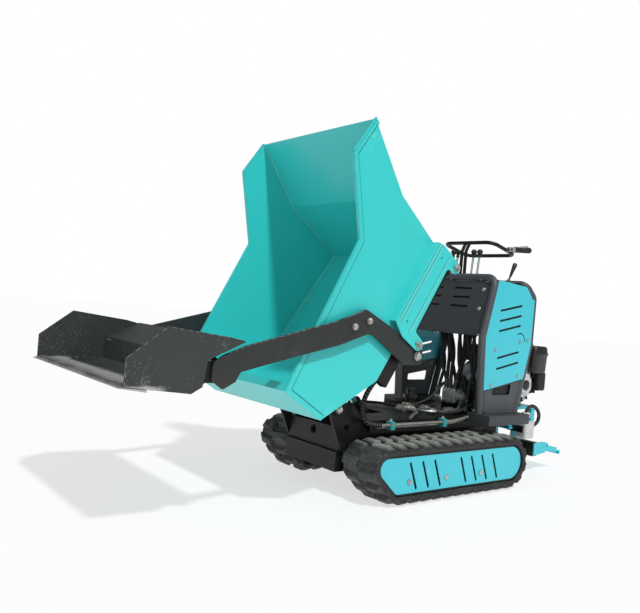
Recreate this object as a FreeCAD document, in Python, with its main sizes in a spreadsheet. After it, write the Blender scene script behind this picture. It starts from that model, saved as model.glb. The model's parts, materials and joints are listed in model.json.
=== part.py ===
import FreeCAD, Part
import math
import os
from FreeCAD import Placement, Rotation, Vector

# Tracked self-loading mini dumper. Forward is -Y, the machine's left is +X, up is +Z.
# The skip stands tipped forward and the loader is part raised, as the machine is at rest here.

SIZES = {
    # tracks: outer half width, belt, lugs and the three wheels that the belt runs round
    "track_outer": 347, "track_width": 180, "belt_thick": 16, "lug_high": 18, "lug_pitch": 60,
    "idler_y": -126, "idler_z": 133, "idler_rad": 45,
    "nose_y": -69, "nose_z": 74, "nose_rad": 40,
    "sprocket_y": 546, "sprocket_z": 106, "sprocket_rad": 72,
    "roller_rad": 24, "axle_rad": 12, "shaft_clear": 0.05, "run_clear": 1, "nose_clear": 2.5,
    "seat_gap": 0.3,
    "cover_thick": 3, "cover_inset": 10, "cover_gap": 3,
    # chassis
    "beam_in": 90, "beam_wide": 50, "beam_low": 120, "beam_top": 213,
    "chassis_front": -165, "chassis_rear": 700,
    "deck_half": 185, "deck_top": 270, "deck_thick": 6, "deck_front": -84, "deck_rear": 690,
    "skirt_low": 222,
    "nose_box_half": 149.7, "nose_box_deep": 40, "nose_box_low": 87, "nose_box_top": 158,
    # skip pivot
    "pivot_y": -222, "pivot_z": 311, "pivot_rad": 16, "bracket_in": 150, "bracket_thick": 12,
    # skip, drawn with its floor level: reach runs rearwards from the floor's front edge, high is up
    "floor_y": -204, "floor_z": 432, "tip_angle": 57.57, "skip_wall": 3,
    "skip_half": 326, "skip_rear_half": 300, "floor_length": 539, "fold_reach": 114,
    "scoop_reach": -224, "scoop_high": 124.5, "lip_high": 296.3,
    "waist_reach": 317.3, "waist_high": 347.3, "crest_reach": 520.5, "crest_high": 540.4,
    "rear_reach": 667.5, "rear_high": 536.6, "knee_reach": 561.7, "knee_high": 283.4,
    "rim_wide": 9, "rim_thick": 4,
    # tilt frame and the skip's quick-release lugs
    "rail_out": 326, "rail_wide": 36, "rail_top": -6, "rail_high": 56, "rail_rear": 520,
    "lug_front": 189, "lug_front_high": -61, "lug_rear": 511, "lug_rear_high": -47,
    "plate_x": 352, "plate_thick": 4, "pin_rad": 8,
    # loader
    "arm_reach": 160, "arm_high": -89, "arm_in": 338, "arm_thick": 8, "arm_shaft_rad": 15,
    "bucket_half": 363, "bucket_wall": 5, "lever_rad": 70,
    # cylinders
    "barrel_rad": 28, "bore_rad": 20, "rod_rad": 14, "ram_y": 176, "ram_z": 120,
    "ram_top_reach": 38, "ram_top_high": -66, "ram_barrel": 265, "ram_rod": 208,
    "lift_reach": 480, "lift_high": -45, "lift_barrel": 235, "lift_barrel_rad": 20, "lift_bore_rad": 14,
    "lift_rod_rad": 9,
    # console
    "console_half": 232, "tube_rad": 15, "tube_wall": 3, "panel_thick": 3, "top_plate_drop": 12,
    "tray_top": 286, "tray_low": 246, "tray_in": 185.3, "tray_out": 300, "tray_front": 440, "tray_rear": 700,
    "front_knee_y": 440, "front_knee_z": 593, "front_top_y": 500, "console_top": 850,
    "front_foot_y": 459, "rear_foot_y": 681, "rear_knee_y": 754, "rear_knee_z": 570,
    "rear_shoulder_z": 770, "rear_top_y": 696, "rear_top_z": 838,
    "lever_y": 560, "lever_pivot_z": 800, "lever_length": 145, "lever_rod_rad": 4.5, "knob_rad": 12,
    # engine and rear
    "engine_y": 768, "engine_z": 396, "engine_in": -80, "engine_out": 150,
    "beam_rear": 926, "step_y": 968, "step_z": 113, "step_half": 192, "step_deep": 150, "step_slope": -11,
}

doc = FreeCAD.newDocument("mini_dumper")
sheet = doc.addObject("Spreadsheet::Sheet", "sizes")
for row, (alias, value) in enumerate(SIZES.items(), start=1):
    sheet.set(f"A{row}", alias)
    sheet.set(f"B{row}", str(value))
    sheet.setAlias(f"B{row}", alias)
doc.recompute()

parts = []


def size(alias):
    return float(sheet.get(alias))


def keep(item, label):
    """Names an object as one of the machine's own pieces."""
    item.Label = label
    parts.append(item)
    return item


def seat(item, at=(0, 0, 0), turn=0):
    """Places an object, turned about X: each coordinate is a number or an expression on the sheet."""
    base = Vector(*[0 if isinstance(value, str) else value for value in at])
    item.Placement = Placement(base, Rotation(Vector(1, 0, 0), turn))
    for name, value in zip("xyz", at):
        if isinstance(value, str):
            item.setExpression(f"Placement.Base.{name}", value)
    return item


def corner_edges(corners):
    """Edges of a closed outline. A corner is (a, b) or (a, b, radius)."""
    points = [Vector(c[0], c[1], 0) for c in corners]
    radii = [c[2] if len(c) > 2 else 0 for c in corners]
    starts, ends, middles = [], [], []
    count = len(points)
    for i, point in enumerate(points):
        back = (points[i - 1] - point).normalize()
        ahead = (points[(i + 1) % count] - point).normalize()
        if radii[i] == 0:
            starts.append(point)
            ends.append(point)
            middles.append(None)
            continue
        half = back.getAngle(ahead) / 2
        reach = radii[i] / math.tan(half)
        centre = point + (back + ahead).normalize() * (radii[i] / math.sin(half))
        starts.append(point + back * reach)
        ends.append(point + ahead * reach)
        middles.append(centre + (point - centre).normalize() * radii[i])
    edges = []
    for i in range(count):
        if middles[i] is not None:
            edges.append(Part.Arc(starts[i], middles[i], ends[i]))
        following = starts[(i + 1) % count]
        if (following - ends[i]).Length > 1e-6:
            edges.append(Part.LineSegment(ends[i], following))
    return edges


def slot_edges(first, last, radius):
    """Edges of a round-ended slot between two centres."""
    a = Vector(first[0], first[1], 0)
    b = Vector(last[0], last[1], 0)
    along = (b - a).normalize() * radius
    side = Vector(-along.y, along.x, 0)
    return [
        Part.LineSegment(a + side, b + side),
        Part.Arc(b + side, b + along, b - side),
        Part.LineSegment(b - side, a - side),
        Part.Arc(a - side, a - along, a + side),
    ]


def arc_slot_edges(centre, radius, first, last, half_wide):
    """Edges of a round-ended slot that follows an arc between two angles in degrees."""
    def spot(turn, reach):
        turn = math.radians(turn)
        return Vector(centre[0] + reach * math.cos(turn), centre[1] + reach * math.sin(turn), 0)

    middle = (first + last) / 2
    outer, inner = radius + half_wide, radius - half_wide
    cap = math.degrees(half_wide / radius)
    return [
        Part.Arc(spot(first, outer), spot(middle, outer), spot(last, outer)),
        Part.Arc(spot(last, outer), spot(last + cap, radius), spot(last, inner)),
        Part.Arc(spot(last, inner), spot(middle, inner), spot(first, inner)),
        Part.Arc(spot(first, inner), spot(first - cap, radius), spot(first, outer)),
    ]


def plate(label, plane, corners, thick, at=(0, 0, 0), turn=0, holes=(), slots=(), windows=(), edges=None):
    """A padded sketch with its holes, slots and windows, as a body of its own."""
    body = doc.addObject("PartDesign::Body", "body_" + label)
    sketch = body.newObject("Sketcher::SketchObject", "outline_" + label)
    origin = [f for f in body.Origin.OriginFeatures if f.Role == plane + "_Plane"][0]
    sketch.AttachmentSupport = [(origin, "")]
    sketch.MapMode = "FlatFace"
    for edge in edges or corner_edges(corners):
        sketch.addGeometry(edge, False)
    for a, b, radius in holes:
        sketch.addGeometry(Part.Circle(Vector(a, b, 0), Vector(0, 0, 1), radius), False)
    for first, last, radius in slots:
        for edge in slot_edges(first, last, radius):
            sketch.addGeometry(edge, False)
    for window in windows:
        for edge in corner_edges(window):
            sketch.addGeometry(edge, False)
    pad = body.newObject("PartDesign::Pad", "pad_" + label)
    pad.Profile = sketch
    if isinstance(thick, str):
        pad.setExpression("Length", thick)
    else:
        pad.Length = thick
    return seat(body, at, turn)


def twin_of(source, label):
    """The mirror image of a left-hand piece across the machine's middle plane."""
    twin = doc.addObject("Part::Mirroring", "mirror_" + label)
    twin.Source = source
    twin.Normal = (1, 0, 0)
    return twin


def left_and_right(source, label):
    """Keeps a left-hand piece and its right-hand twin as two nodes."""
    keep(source, label + "_left")
    keep(twin_of(source, label), label + "_right")


def pair(source, label):
    """Keeps a left-hand piece and its right-hand twin as one node of two solids."""
    group = doc.addObject("Part::Compound", "pair_" + label)
    group.Links = [source, twin_of(source, label)]
    return keep(group, label)


def box(low, high):
    """A plain block between two corners."""
    extent = [h - l for l, h in zip(low, high)]
    return Part.makeBox(*extent, Vector(*low))


def rod(start, end, radius):
    """A round bar between two points."""
    start, end = Vector(*start), Vector(*end)
    return Part.makeCylinder(radius, (end - start).Length, start, end - start)


def hollow(start, end, radius, bore):
    return rod(start, end, radius).cut(rod(start, end, bore))


def route(points, bend, closed=False):
    """Straight runs joined by tangent arcs of one bend radius."""
    nodes = [Vector(*p) for p in points]
    count = len(nodes)
    inner = range(count) if closed else range(1, count - 1)
    cuts = {}
    for i in inner:
        back = (nodes[i - 1] - nodes[i]).normalize()
        ahead = (nodes[(i + 1) % count] - nodes[i]).normalize()
        half = back.getAngle(ahead) / 2
        reach = bend / math.tan(half)
        centre = nodes[i] + (back + ahead).normalize() * (bend / math.sin(half))
        cuts[i] = (nodes[i] + back * reach, centre + (nodes[i] - centre).normalize() * bend,
                   nodes[i] + ahead * reach)
    edges = []
    last = count if closed else count - 1
    for i in range(last):
        j = (i + 1) % count
        start = cuts[i][2] if i in cuts else nodes[i]
        end = cuts[j][0] if j in cuts else nodes[j]
        edges.append(Part.LineSegment(start, end).toShape())
        if j in cuts:
            edges.append(Part.Arc(*cuts[j]).toShape())
    return Part.Wire(edges)


def tube(points, radius, bend, bore=0):
    """A bent round tube, hollow where a bore is given."""
    path = route(points, bend)
    first = path.Edges[0]
    at, along = first.valueAt(first.FirstParameter), first.tangentAt(first.FirstParameter)
    skins = []
    for r in [radius] + ([bore] if bore else []):
        ring = Part.Wire(Part.makeCircle(r, at, along))
        skins.append(path.makePipeShell([ring], True, True))
    return skins[0].cut(skins[1]) if bore else skins[0]


def fused(shapes):
    joined = shapes[0]
    if len(shapes) > 1:
        joined = shapes[0].multiFuse(shapes[1:])
    joined = joined.removeSplitter()
    return joined.Solids[0] if len(joined.Solids) == 1 else joined


def shaped(label, shape, at=(0, 0, 0), turn=0):
    """An object whose shape comes from bars, blocks and bent tubes."""
    item = doc.addObject("Part::Feature", "shape_" + label)
    item.Shape = shape
    item.Placement = Placement(Vector(*at), Rotation(Vector(1, 0, 0), turn))
    return item


def feature(label, shape, at=(0, 0, 0), turn=0):
    """A piece of its own made by shaped()."""
    return keep(shaped(label, shape, at, turn), label)


def prism(outline, low_x, wide):
    """A plate across the machine from low_x, its outline given as (y, z) corners."""
    wire = Part.makePolygon([Vector(low_x, y, z) for y, z in outline + outline[:1]])
    return Part.Face(wire).extrude(Vector(wide, 0, 0))


def rounded_prism(corners, low_x, wide):
    """The same with rounded corners, each given as (y, z, radius)."""
    wire = Part.Wire([e.toShape() for e in corner_edges(corners)])
    wire.Placement = Placement(Vector(low_x, 0, 0), Rotation(Vector(1, 1, 1), 120))
    return Part.Face(wire).extrude(Vector(wide, 0, 0))


def both_sides(shapes):
    """Each shape and its mirror image across the machine's middle plane."""
    return shapes + [s.mirror(Vector(0, 0, 0), Vector(1, 0, 0)) for s in shapes]


# ---------------------------------------------------------------- track path

def track_wheels(offset):
    """Centre and radius of the three wheels, with the radius grown by an offset."""
    names = ("sprocket", "idler", "nose")
    return [(size(n + "_y"), size(n + "_z"), size(n + "_rad") + offset) for n in names]


def track_outline(offset):
    """Belt line round the wheels as (kind, data): tangent lines and arcs, anticlockwise."""
    wheels = track_wheels(offset)
    pieces = []
    tangents = []
    for i in range(3):
        ya, za, ra = wheels[i]
        yb, zb, rb = wheels[(i + 1) % 3]
        span = math.hypot(yb - ya, zb - za)
        heading = math.atan2(zb - za, yb - ya)
        normal = heading - math.acos((ra - rb) / span)
        a = Vector(ya + ra * math.cos(normal), za + ra * math.sin(normal), 0)
        b = Vector(yb + rb * math.cos(normal), zb + rb * math.sin(normal), 0)
        tangents.append((a, b, normal))
    for i in range(3):
        a, b, normal = tangents[i]
        pieces.append(("line", a, b))
        following = tangents[(i + 1) % 3]
        wheel = wheels[(i + 1) % 3]
        sweep = (following[2] - normal) % (2 * math.pi)
        pieces.append(("arc", wheel, normal, sweep))
    return pieces


def outline_edges(offset):
    """The belt line as sketch edges."""
    edges = []
    for piece in track_outline(offset):
        if piece[0] == "line":
            edges.append(Part.LineSegment(piece[1], piece[2]))
            continue
        (y, z, radius), start, sweep = piece[1:]
        turns = [start, start + sweep / 2, start + sweep]
        spots = [Vector(y + radius * math.cos(t), z + radius * math.sin(t), 0) for t in turns]
        edges.append(Part.Arc(*spots))
    return edges


def along_track(distance, offset):
    """Point at a distance along the belt's root line, moved outwards by an offset."""
    root = size("belt_thick")
    pieces = track_outline(root)
    lengths = [(p[2] - p[1]).Length if p[0] == "line" else p[1][2] * p[3] for p in pieces]
    distance %= sum(lengths)
    for piece, length in zip(pieces, lengths):
        if distance <= length:
            break
        distance -= length
    if piece[0] == "line":
        heading = (piece[2] - piece[1]).normalize()
        return piece[1] + heading * distance + Vector(heading.y, -heading.x, 0) * offset
    (y, z, radius), start, sweep = piece[1:]
    turn = start + distance / radius
    return Vector(y + (radius + offset) * math.cos(turn), z + (radius + offset) * math.sin(turn), 0)


def track_length():
    pieces = track_outline(size("belt_thick"))
    return sum((p[2] - p[1]).Length if p[0] == "line" else p[1][2] * p[3] for p in pieces)


def belt_half(inner, outer, phase):
    """Half of the belt's width with its lugs, as one extruded outline."""
    length = track_length()
    count = round(length / size("lug_pitch"))
    pitch = length / count
    high = size("lug_high")
    lug = [(0.0, 0), (0.12, 0), (0.24, 0), (0.30, high), (0.46, high), (0.62, high), (0.70, 0), (0.85, 0)]
    points = []
    for i in range(count):
        for share, offset in lug:
            points.append(along_track((i + share + phase) * pitch, offset))
    wire = Part.makePolygon([Vector(inner, p.x, p.y) for p in points + points[:1]])
    ring = Part.Wire(Part.__sortEdges__([e.toShape() for e in outline_edges(0)]))
    ring.Placement = Placement(Vector(inner, 0, 0), Rotation(Vector(1, 1, 1), 120))
    run = Vector(outer - inner, 0, 0)
    return Part.Face(wire).extrude(run).cut(Part.Face(ring).extrude(run))


def build_tracks():
    out = size("track_outer")
    inner = out - size("track_width")
    middle = (out + inner) / 2
    belt = fused([belt_half(inner, middle, 0.0), belt_half(middle, out, 0.5)])
    left_and_right(shaped("track_belt", belt), "track_belt")
    build_track_frame(middle)
    build_rollers(middle)
    build_wheel("drive_sprocket", "sprocket", middle, 11)
    build_wheel("front_idler", "idler", middle, 0)
    build_covers(out)


def roller_places():
    """Where the three small rollers stand between the nose roller and the sprocket."""
    first, last = size("nose_y"), size("sprocket_y")
    return [first + (last - first) * share for share in (0.24, 0.48, 0.72)]


def ground_line():
    return size("nose_z") - size("nose_rad")


def build_track_frame(middle):
    """Box beam in the belt loop, with cheeks for rollers and idler, and studs for the cover."""
    roller_z = ground_line() + size("roller_rad") + size("run_clear")
    cheek_in, cheek = 38, 6
    nose, rear = size("nose_y"), roller_places()[-1]
    solids = [box((middle - 44, -60, 95), (middle + 44, 450, 160))]
    for side in (-1, 1):
        start = middle + side * cheek_in
        low = min(start, start + side * cheek)
        outline = [(size("idler_y") - 16, size("idler_z") - 12), (nose - 14, size("nose_z") - 14),
                   (nose + 40, roller_z - 14), (rear + 22, roller_z - 14), (rear + 40, 100), (0, 150),
                   (size("idler_y") + 10, size("idler_z") + 18), (size("idler_y") - 16, size("idler_z") + 14)]
        solids.append(prism(outline, low, cheek))
    stud_end = size("track_outer") - size("cover_inset") - size("cover_thick")
    for y, z in cover_bolts():
        solids.append(hollow((middle + 38, y, z), (stud_end - size("seat_gap"), y, z), 9, 5.05))
    for y in (30, 380):
        solids.append(box((size("beam_in") + size("beam_wide"), y, 100), (middle - 43, y + 60, 155)))
    motor = size("sprocket_y"), size("sprocket_z")
    solids.append(box((middle - 56, 440, 80), (middle - 46, motor[0] + 40, 150)))
    solids.append(box((middle - 56, 380, 96), (middle - 40, 450, 155)))
    frame = fused(solids)
    for y, z in cover_bolts():
        frame = frame.cut(rod((middle + 30, y, z), (stud_end, y, z), 5.05))
    axles = [(size("idler_y"), size("idler_z")), (nose, size("nose_z"))]
    axles += [(y, roller_z) for y in roller_places()]
    wheels = [size("idler_rad"), size("nose_rad")] + [size("roller_rad")] * 3
    for (y, z), radius in zip(axles, wheels):
        bore = size("axle_rad") + size("shaft_clear")
        frame = frame.cut(rod((middle - 60, y, z), (middle + 60, y, z), bore))
        frame = frame.cut(rod((middle - 36.5, y, z), (middle + 36.5, y, z), radius + 2))
    frame = frame.cut(rod((middle - 60, *motor), (middle - 40, *motor), 40 + size("shaft_clear")))
    pair(shaped("track_frames", frame), "track_frames")
    flange = middle - 21
    housing = rod((inner_motor(), *motor), (flange, *motor), 40)
    shaft = rod((flange - 1, *motor), (middle + 24, *motor), 20)
    feature("travel_motors", Part.makeCompound(both_sides([fused([housing, shaft])])))


def inner_motor():
    return size("beam_in") + size("beam_wide") + 5


def build_rollers(middle):
    """Nose roller and three small rollers each side, each with its axle."""
    roller_z = ground_line() + size("roller_rad") + size("run_clear")
    spots = [(size("nose_y"), size("nose_z"), size("nose_rad") - size("nose_clear"))]
    spots += [(y, roller_z, size("roller_rad")) for y in roller_places()]
    rollers = []
    for y, z, radius in spots:
        wheel = rod((middle - 35, y, z), (middle + 35, y, z), radius)
        groove = hollow((middle - 12, y, z), (middle + 12, y, z), radius + 1, radius - 6)
        axle = rod((middle - 46, y, z), (middle + 46, y, z), size("axle_rad"))
        rollers.append(fused([wheel.cut(groove), axle]))
    feature("track_rollers", Part.makeCompound(both_sides(rollers)))


def build_wheel(label, wheel, middle, teeth):
    """Drive sprocket with teeth, or the smooth front idler, each turning on its own axis."""
    y, z = size(wheel + "_y"), size(wheel + "_z")
    radius = size(wheel + "_rad") - size("run_clear")
    if teeth:
        rim = [(y + r * math.cos(t), z + r * math.sin(t)) for t, r in tooth_points(radius, teeth)]
        face = Part.Face(Part.makePolygon([Vector(middle - 20, a, b) for a, b in rim + rim[:1]]))
        disc = face.extrude(Vector(40, 0, 0)).cut(rod((middle - 30, y, z), (middle + 30, y, z), 20.05))
        cups = [rod((middle + 12, y + 36 * math.cos(t), z + 36 * math.sin(t)),
                    (middle + 21, y + 36 * math.cos(t), z + 36 * math.sin(t)), 6)
                for t in [2 * math.pi * k / 6 for k in range(6)]]
        shape = disc
        for cup in cups:
            shape = shape.cut(cup)
    else:
        shape = rod((middle - 35, y, z), (middle + 35, y, z), radius)
        for side in (-1, 1):
            face_x = middle + side * 35
            dish = rod((face_x, y, z), (face_x - side * 14, y, z), radius - 9)
            shape = shape.cut(dish)
        shape = fused([shape, rod((middle - 35, y, z), (middle + 35, y, z), 20),
                       rod((middle - 46, y, z), (middle + 46, y, z), size("axle_rad"))])
    left_and_right(shaped(label, shape), label)


def tooth_points(radius, teeth):
    """Polar points of a toothed rim: tip, tip, root, root for each tooth."""
    step = 2 * math.pi / teeth
    points = []
    for k in range(teeth):
        for share, depth in ((0.0, 0), (0.28, 0), (0.45, 12), (0.83, 12)):
            points.append(((k + share) * step, radius - depth))
    return points


def cover_bolts():
    """Places of the three bolts that hold a track cover."""
    return [(-22, 83), (168, 83), (361, 83)]


def cover_slots():
    """Two groups of leaning slots: three at the front, four behind."""
    starts = [-20, 42, 104, 245, 304, 365, 428]
    return [((y, 146), (y + 35, 57), 5) for y in starts]


def build_covers(out):
    holes = [(y, z, 5.5) for y, z in cover_bolts()]
    cover = plate("track_cover", "YZ", None, "sizes.cover_thick",
                  ("sizes.track_outer - sizes.cover_inset - sizes.cover_thick", 0, 0),
                  holes=holes, slots=cover_slots(), edges=outline_edges(-size("cover_gap")))
    pair(cover, "track_covers")
    face = out - size("cover_inset")
    bolts = []
    for y, z in cover_bolts():
        stem = rod((face - 22, y, z), (face, y, z), 5)
        bolts.append(fused([stem, rod((face, y, z), (face + 5, y, z), 9)]))
    for y, z in console_bolts():
        face = size("console_half") + 14
        stem = rod((face - 10, y, z), (face, y, z), 3.5)
        bolts.append(fused([stem, rod((face, y, z), (face + 4, y, z), 7)]))
    feature("cover_bolts", Part.makeCompound(both_sides(bolts)))


# ---------------------------------------------------------------- chassis

def butted(pieces):
    """The pieces as separate solids, each cut back where it would reach into one before it."""
    done = []
    for piece in pieces:
        for earlier in done:
            piece = piece.cut(earlier)
        done += piece.Solids
    return Part.makeCompound(done)


def build_chassis():
    """Two long beams with a nose box, cross members, deck risers and a tail for the step, butt welded."""
    low, top = size("beam_low"), size("beam_top")
    inner, outer = size("beam_in"), size("beam_in") + size("beam_wide")
    front, rear = size("chassis_front"), size("chassis_rear")
    half = size("nose_box_half")
    nose_start = front - size("nose_box_deep")
    nose = box((-half, nose_start, size("nose_box_low")), (half, front + 20, size("nose_box_top")))
    beams = both_sides([box((inner, front, low), (outer, rear, top))])
    cross = [box((-outer, y, low), (outer, y + 50, low + 70)) for y in (rear - 50, 300)]
    deck_low = size("deck_top") - size("deck_thick")
    risers = both_sides([box((inner, y, top), (outer, y + 60, deck_low)) for y in (-80, 120, 330, rear - 75)])
    ram_y, ram_z = size("ram_y"), size("ram_z")
    ear_bar = box((-outer, ram_y + 20, low), (outer, ram_y + 50, low + 40))
    ears = both_sides([box((34, ram_y - 26, low - 18), (42, ram_y + 26, low + 30))])
    pin_hole = rod((-46, ram_y, ram_z), (46, ram_y, ram_z), 12.05)
    ears = [ear.cut(pin_hole) for ear in ears]
    face = box((-half, front - 30, size("nose_box_top")), (half, front - 24, 240))
    face = face.cut(rod((0, front - 40, 212), (0, front - 10, 212), 16))
    spacers = both_sides([box((outer, front + 15, 165), (half, -20, 205))])
    stays = both_sides([box((100, front - 24, size("nose_box_top")), (108, front, 235))])
    tail = size("beam_rear")
    bars = both_sides([box((inner, rear - 60, 75), (inner + 40, tail, low))])
    tail_bar = box((-196, tail - 34, 75), (196, tail, 136))
    pieces = [nose] + beams + cross + risers + [ear_bar] + ears + [face] + spacers + stays + [tail_bar] + bars
    feature("chassis_frame", butted(pieces))

    edge = size("deck_half")
    deck = box((-edge, size("deck_front"), size("deck_top") - size("deck_thick")),
               (edge, size("deck_rear"), size("deck_top")))
    skirts = both_sides([box((edge - 5, size("deck_front"), size("skirt_low")),
                             (edge, size("deck_rear"), size("deck_top")))])
    deck = fused([deck] + skirts).cut(box((-46, -100, 200), (46, 110, 300)))
    feature("deck_plate", deck)

    y, z = size("pivot_y"), size("pivot_z")
    outline = [(y - 30, z - 20, 12), (y - 30, z + 10, 20), (y - 8, z + 32, 24), (y + 46, z + 22, 20),
               (y + 212, 203), (y + 212, 160), (y + 30, 160)]
    holes = [(y, z, size("pivot_rad") + size("shaft_clear")), (y + 48, z - 67, 11)]
    place = ("sizes.bracket_in", 0, 0)
    bracket = plate("pivot_bracket", "YZ", outline, "sizes.bracket_thick", place, holes=holes)
    pair(bracket, "pivot_brackets")
    reach = size("bracket_in") + size("bracket_thick") + 8
    shaft = rod((-reach, y, z), (reach, y, z), size("pivot_rad"))
    shaft = fused([shaft] + both_sides([rod((reach - 4, y, z), (reach, y, z), size("pivot_rad") + 5)]))
    feature("skip_pivot_shaft", shaft)


# ---------------------------------------------------------------- skip and tilt frame

def tipped(label, shape):
    """An object drawn with the skip's floor level, then tipped about the floor's front edge."""
    return shaped(label, shape, (0, size("floor_y"), size("floor_z")), size("tip_angle"))


def offset_line(points, distance):
    """An open line of (a, b) points moved to its left by a distance, with mitred corners."""
    moved = []
    for i, (a, b) in enumerate(points):
        turns = []
        for j in (i - 1, i):
            if 0 <= j < len(points) - 1:
                da, db = points[j + 1][0] - points[j][0], points[j + 1][1] - points[j][1]
                run = math.hypot(da, db)
                turns.append((-db / run, da / run))
        na, nb = sum(t[0] for t in turns), sum(t[1] for t in turns)
        scale = distance * len(turns) / (na * na + nb * nb) if len(turns) == 2 else distance
        moved.append((a + na * scale, b + nb * scale))
    return moved


def strip(points, wall, low_x, high_x):
    """A folded sheet: an open line in the YZ plane given a wall to its left and run along X."""
    outline = points + offset_line(points, wall)[::-1]
    face = Part.Face(Part.makePolygon([Vector(low_x, a, b) for a, b in outline + outline[:1]]))
    return face.extrude(Vector(high_x - low_x, 0, 0))


def sheet_panel(corners, toward, wall):
    """A flat sheet on three-dimensional corners, with its wall on the side of a given point."""
    points = [Vector(*c) for c in corners]
    face = Part.Face(Part.makePolygon(points + points[:1]))
    normal = (points[1] - points[0]).cross(points[2] - points[0]).normalize()
    if normal.dot(Vector(*toward) - points[0]) < 0:
        normal = normal * -1
    return face.extrude(normal * wall)


def side_x(reach, high):
    """Outer half width of the skip's side wall: upright ahead of the fold, leaning in behind it."""
    ga, gb = size("fold_reach"), 0.0
    da, db = size("rear_reach") - ga, size("rear_high") - gb
    run = math.hypot(da, db)
    behind = (db * (reach - ga) - da * (high - gb)) / run
    corner = (db * (size("floor_length") - ga)) / run
    lean = (size("skip_half") - size("skip_rear_half")) / corner
    return size("skip_half") - max(0.0, behind) * lean


def skip_points():
    names = ("scoop", "waist", "crest", "rear", "knee")
    spots = {n: (size(n + "_reach"), size(n + "_high")) for n in names}
    spots["lip"] = (size("scoop_reach"), size("lip_high"))
    spots["front"] = (0.0, 0.0)
    spots["fold"] = (size("fold_reach"), 0.0)
    spots["heel"] = (size("floor_length"), 0.0)
    return spots


def build_skip():
    spot = skip_points()
    wall = size("skip_wall")
    half = size("skip_half")
    inner = (0, 200, 250)

    ahead = [(half, *spot[n]) for n in ("front", "fold", "rear", "crest", "waist", "lip", "scoop")]
    behind = [(side_x(*spot[n]), *spot[n]) for n in ("fold", "heel", "knee", "rear")]
    side = fused([sheet_panel(ahead, inner, wall), sheet_panel(behind, inner, wall)])
    left_and_right(tipped("skip_side", side), "skip_side")

    gap = 0.2
    clear = half - wall - gap
    front = strip([spot["lip"], spot["scoop"], spot["front"], spot["fold"]], wall, -clear, clear)
    rear_half = side_x(*spot["heel"]) - wall - gap
    end = spot["heel"][0] - wall - gap
    start = spot["fold"][0]
    bed = [(clear, start, 0), (rear_half, end, 0), (-rear_half, end, 0), (-clear, start, 0)]
    keep(tipped("skip_floor", fused([front, sheet_panel(bed, inner, wall)])), "skip_floor")

    sheets = []
    for low, high in (("heel", "knee"), ("knee", "rear")):
        a = side_x(*spot[low]) - wall - 2 * gap
        b = side_x(*spot[high]) - wall - 2 * gap
        corners = [(a, *spot[low]), (b, *spot[high]), (-b, *spot[high]), (-a, *spot[low])]
        sheets.append(sheet_panel(corners, inner, wall))
    keep(tipped("skip_rear_wall", fused(sheets)), "skip_rear_wall")
    build_rims(spot, half)
    build_mount_plates()


def build_rims(spot, half):
    """Turned-out rim strips along both side walls, and across the front lip and the rear edge."""
    wall, wide = size("rim_thick"), size("rim_wide")
    strips = []
    for names in (("rear", "crest"), ("crest", "waist"), ("waist", "lip")):
        (a0, b0), (a1, b1) = (spot[n] for n in names)
        run = math.hypot(a1 - a0, b1 - b0)
        lift = size("seat_gap")
        na, nb = (b1 - b0) / run * lift, -(a1 - a0) / run * lift
        line = [(a1 + na, b1 + nb), (a0 + na, b0 + nb)]
        strips.append(strip(line, wall, half - 3, half + wide))
    sides = both_sides([fused(strips)])
    reach, high = spot["lip"]
    low = high + size("seat_gap")
    lip = box((-half + 3, reach - 0.3, low), (half - 3, reach + 26, low + wall))
    keep(tipped("skip_rims", fused(sides + [lip])), "skip_rims")


def build_mount_plates():
    """Outboard lug plate on each side: flat with two round lugs, its top edge turned in to the wall."""
    x, thick = size("plate_x"), size("plate_thick")
    lug = 20
    fa, fb = size("lug_front"), size("lug_front_high")
    ra, rb = size("lug_rear"), size("lug_rear_high")
    top = 78
    corners = [(fa - lug, fb - lug, lug - 1), (fa + lug, fb - lug, lug - 1), (fa + lug + 8, -20, 14),
               (ra - lug - 8, -14, 14), (ra - lug, rb - lug, lug - 1), (ra + lug, rb - lug, lug - 1),
               (ra + lug + 4, top - 30), (ra + lug - 4, top), (fa + 4, top), (fa - lug, 20)]
    flat = rounded_prism(corners, x, thick)
    for a, b in ((fa, fb), (ra, rb)):
        flat = flat.cut(rod((x - 1, a, b), (x + thick + 1, a, b), size("pin_rad") + size("shaft_clear")))
    starts = [(side_x(a, top) + size("seat_gap") + 0.1, a) for a in (fa + 4, ra + lug - 4)]
    flange = [(starts[0][0], starts[0][1], top), (starts[1][0], starts[1][1], top),
              (x + thick, ra + lug - 4, top), (x + thick, fa + 4, top)]
    turned = sheet_panel(flange, (x, 300, 0), thick)
    pair(tipped("skip_mount_plate", fused([flat, turned])), "skip_mount_plates")
    pins = []
    for a, b in ((fa, fb), (ra, rb)):
        reach = size("rail_out") + size("seat_gap")
        pin = rod((reach - 12, a, b), (x + thick + 14, a, b), size("pin_rad"))
        head = rod((x + thick + 0.3, a, b), (x + thick + 5, a, b), 13)
        clip = rod((x + thick + 10, a - 6, b - 14), (x + thick + 10, a + 6, b + 26), 2)
        pins.append(fused([pin, head, clip]))
    keep(tipped("skip_pins", Part.makeCompound(both_sides(pins))), "skip_pins")


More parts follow.
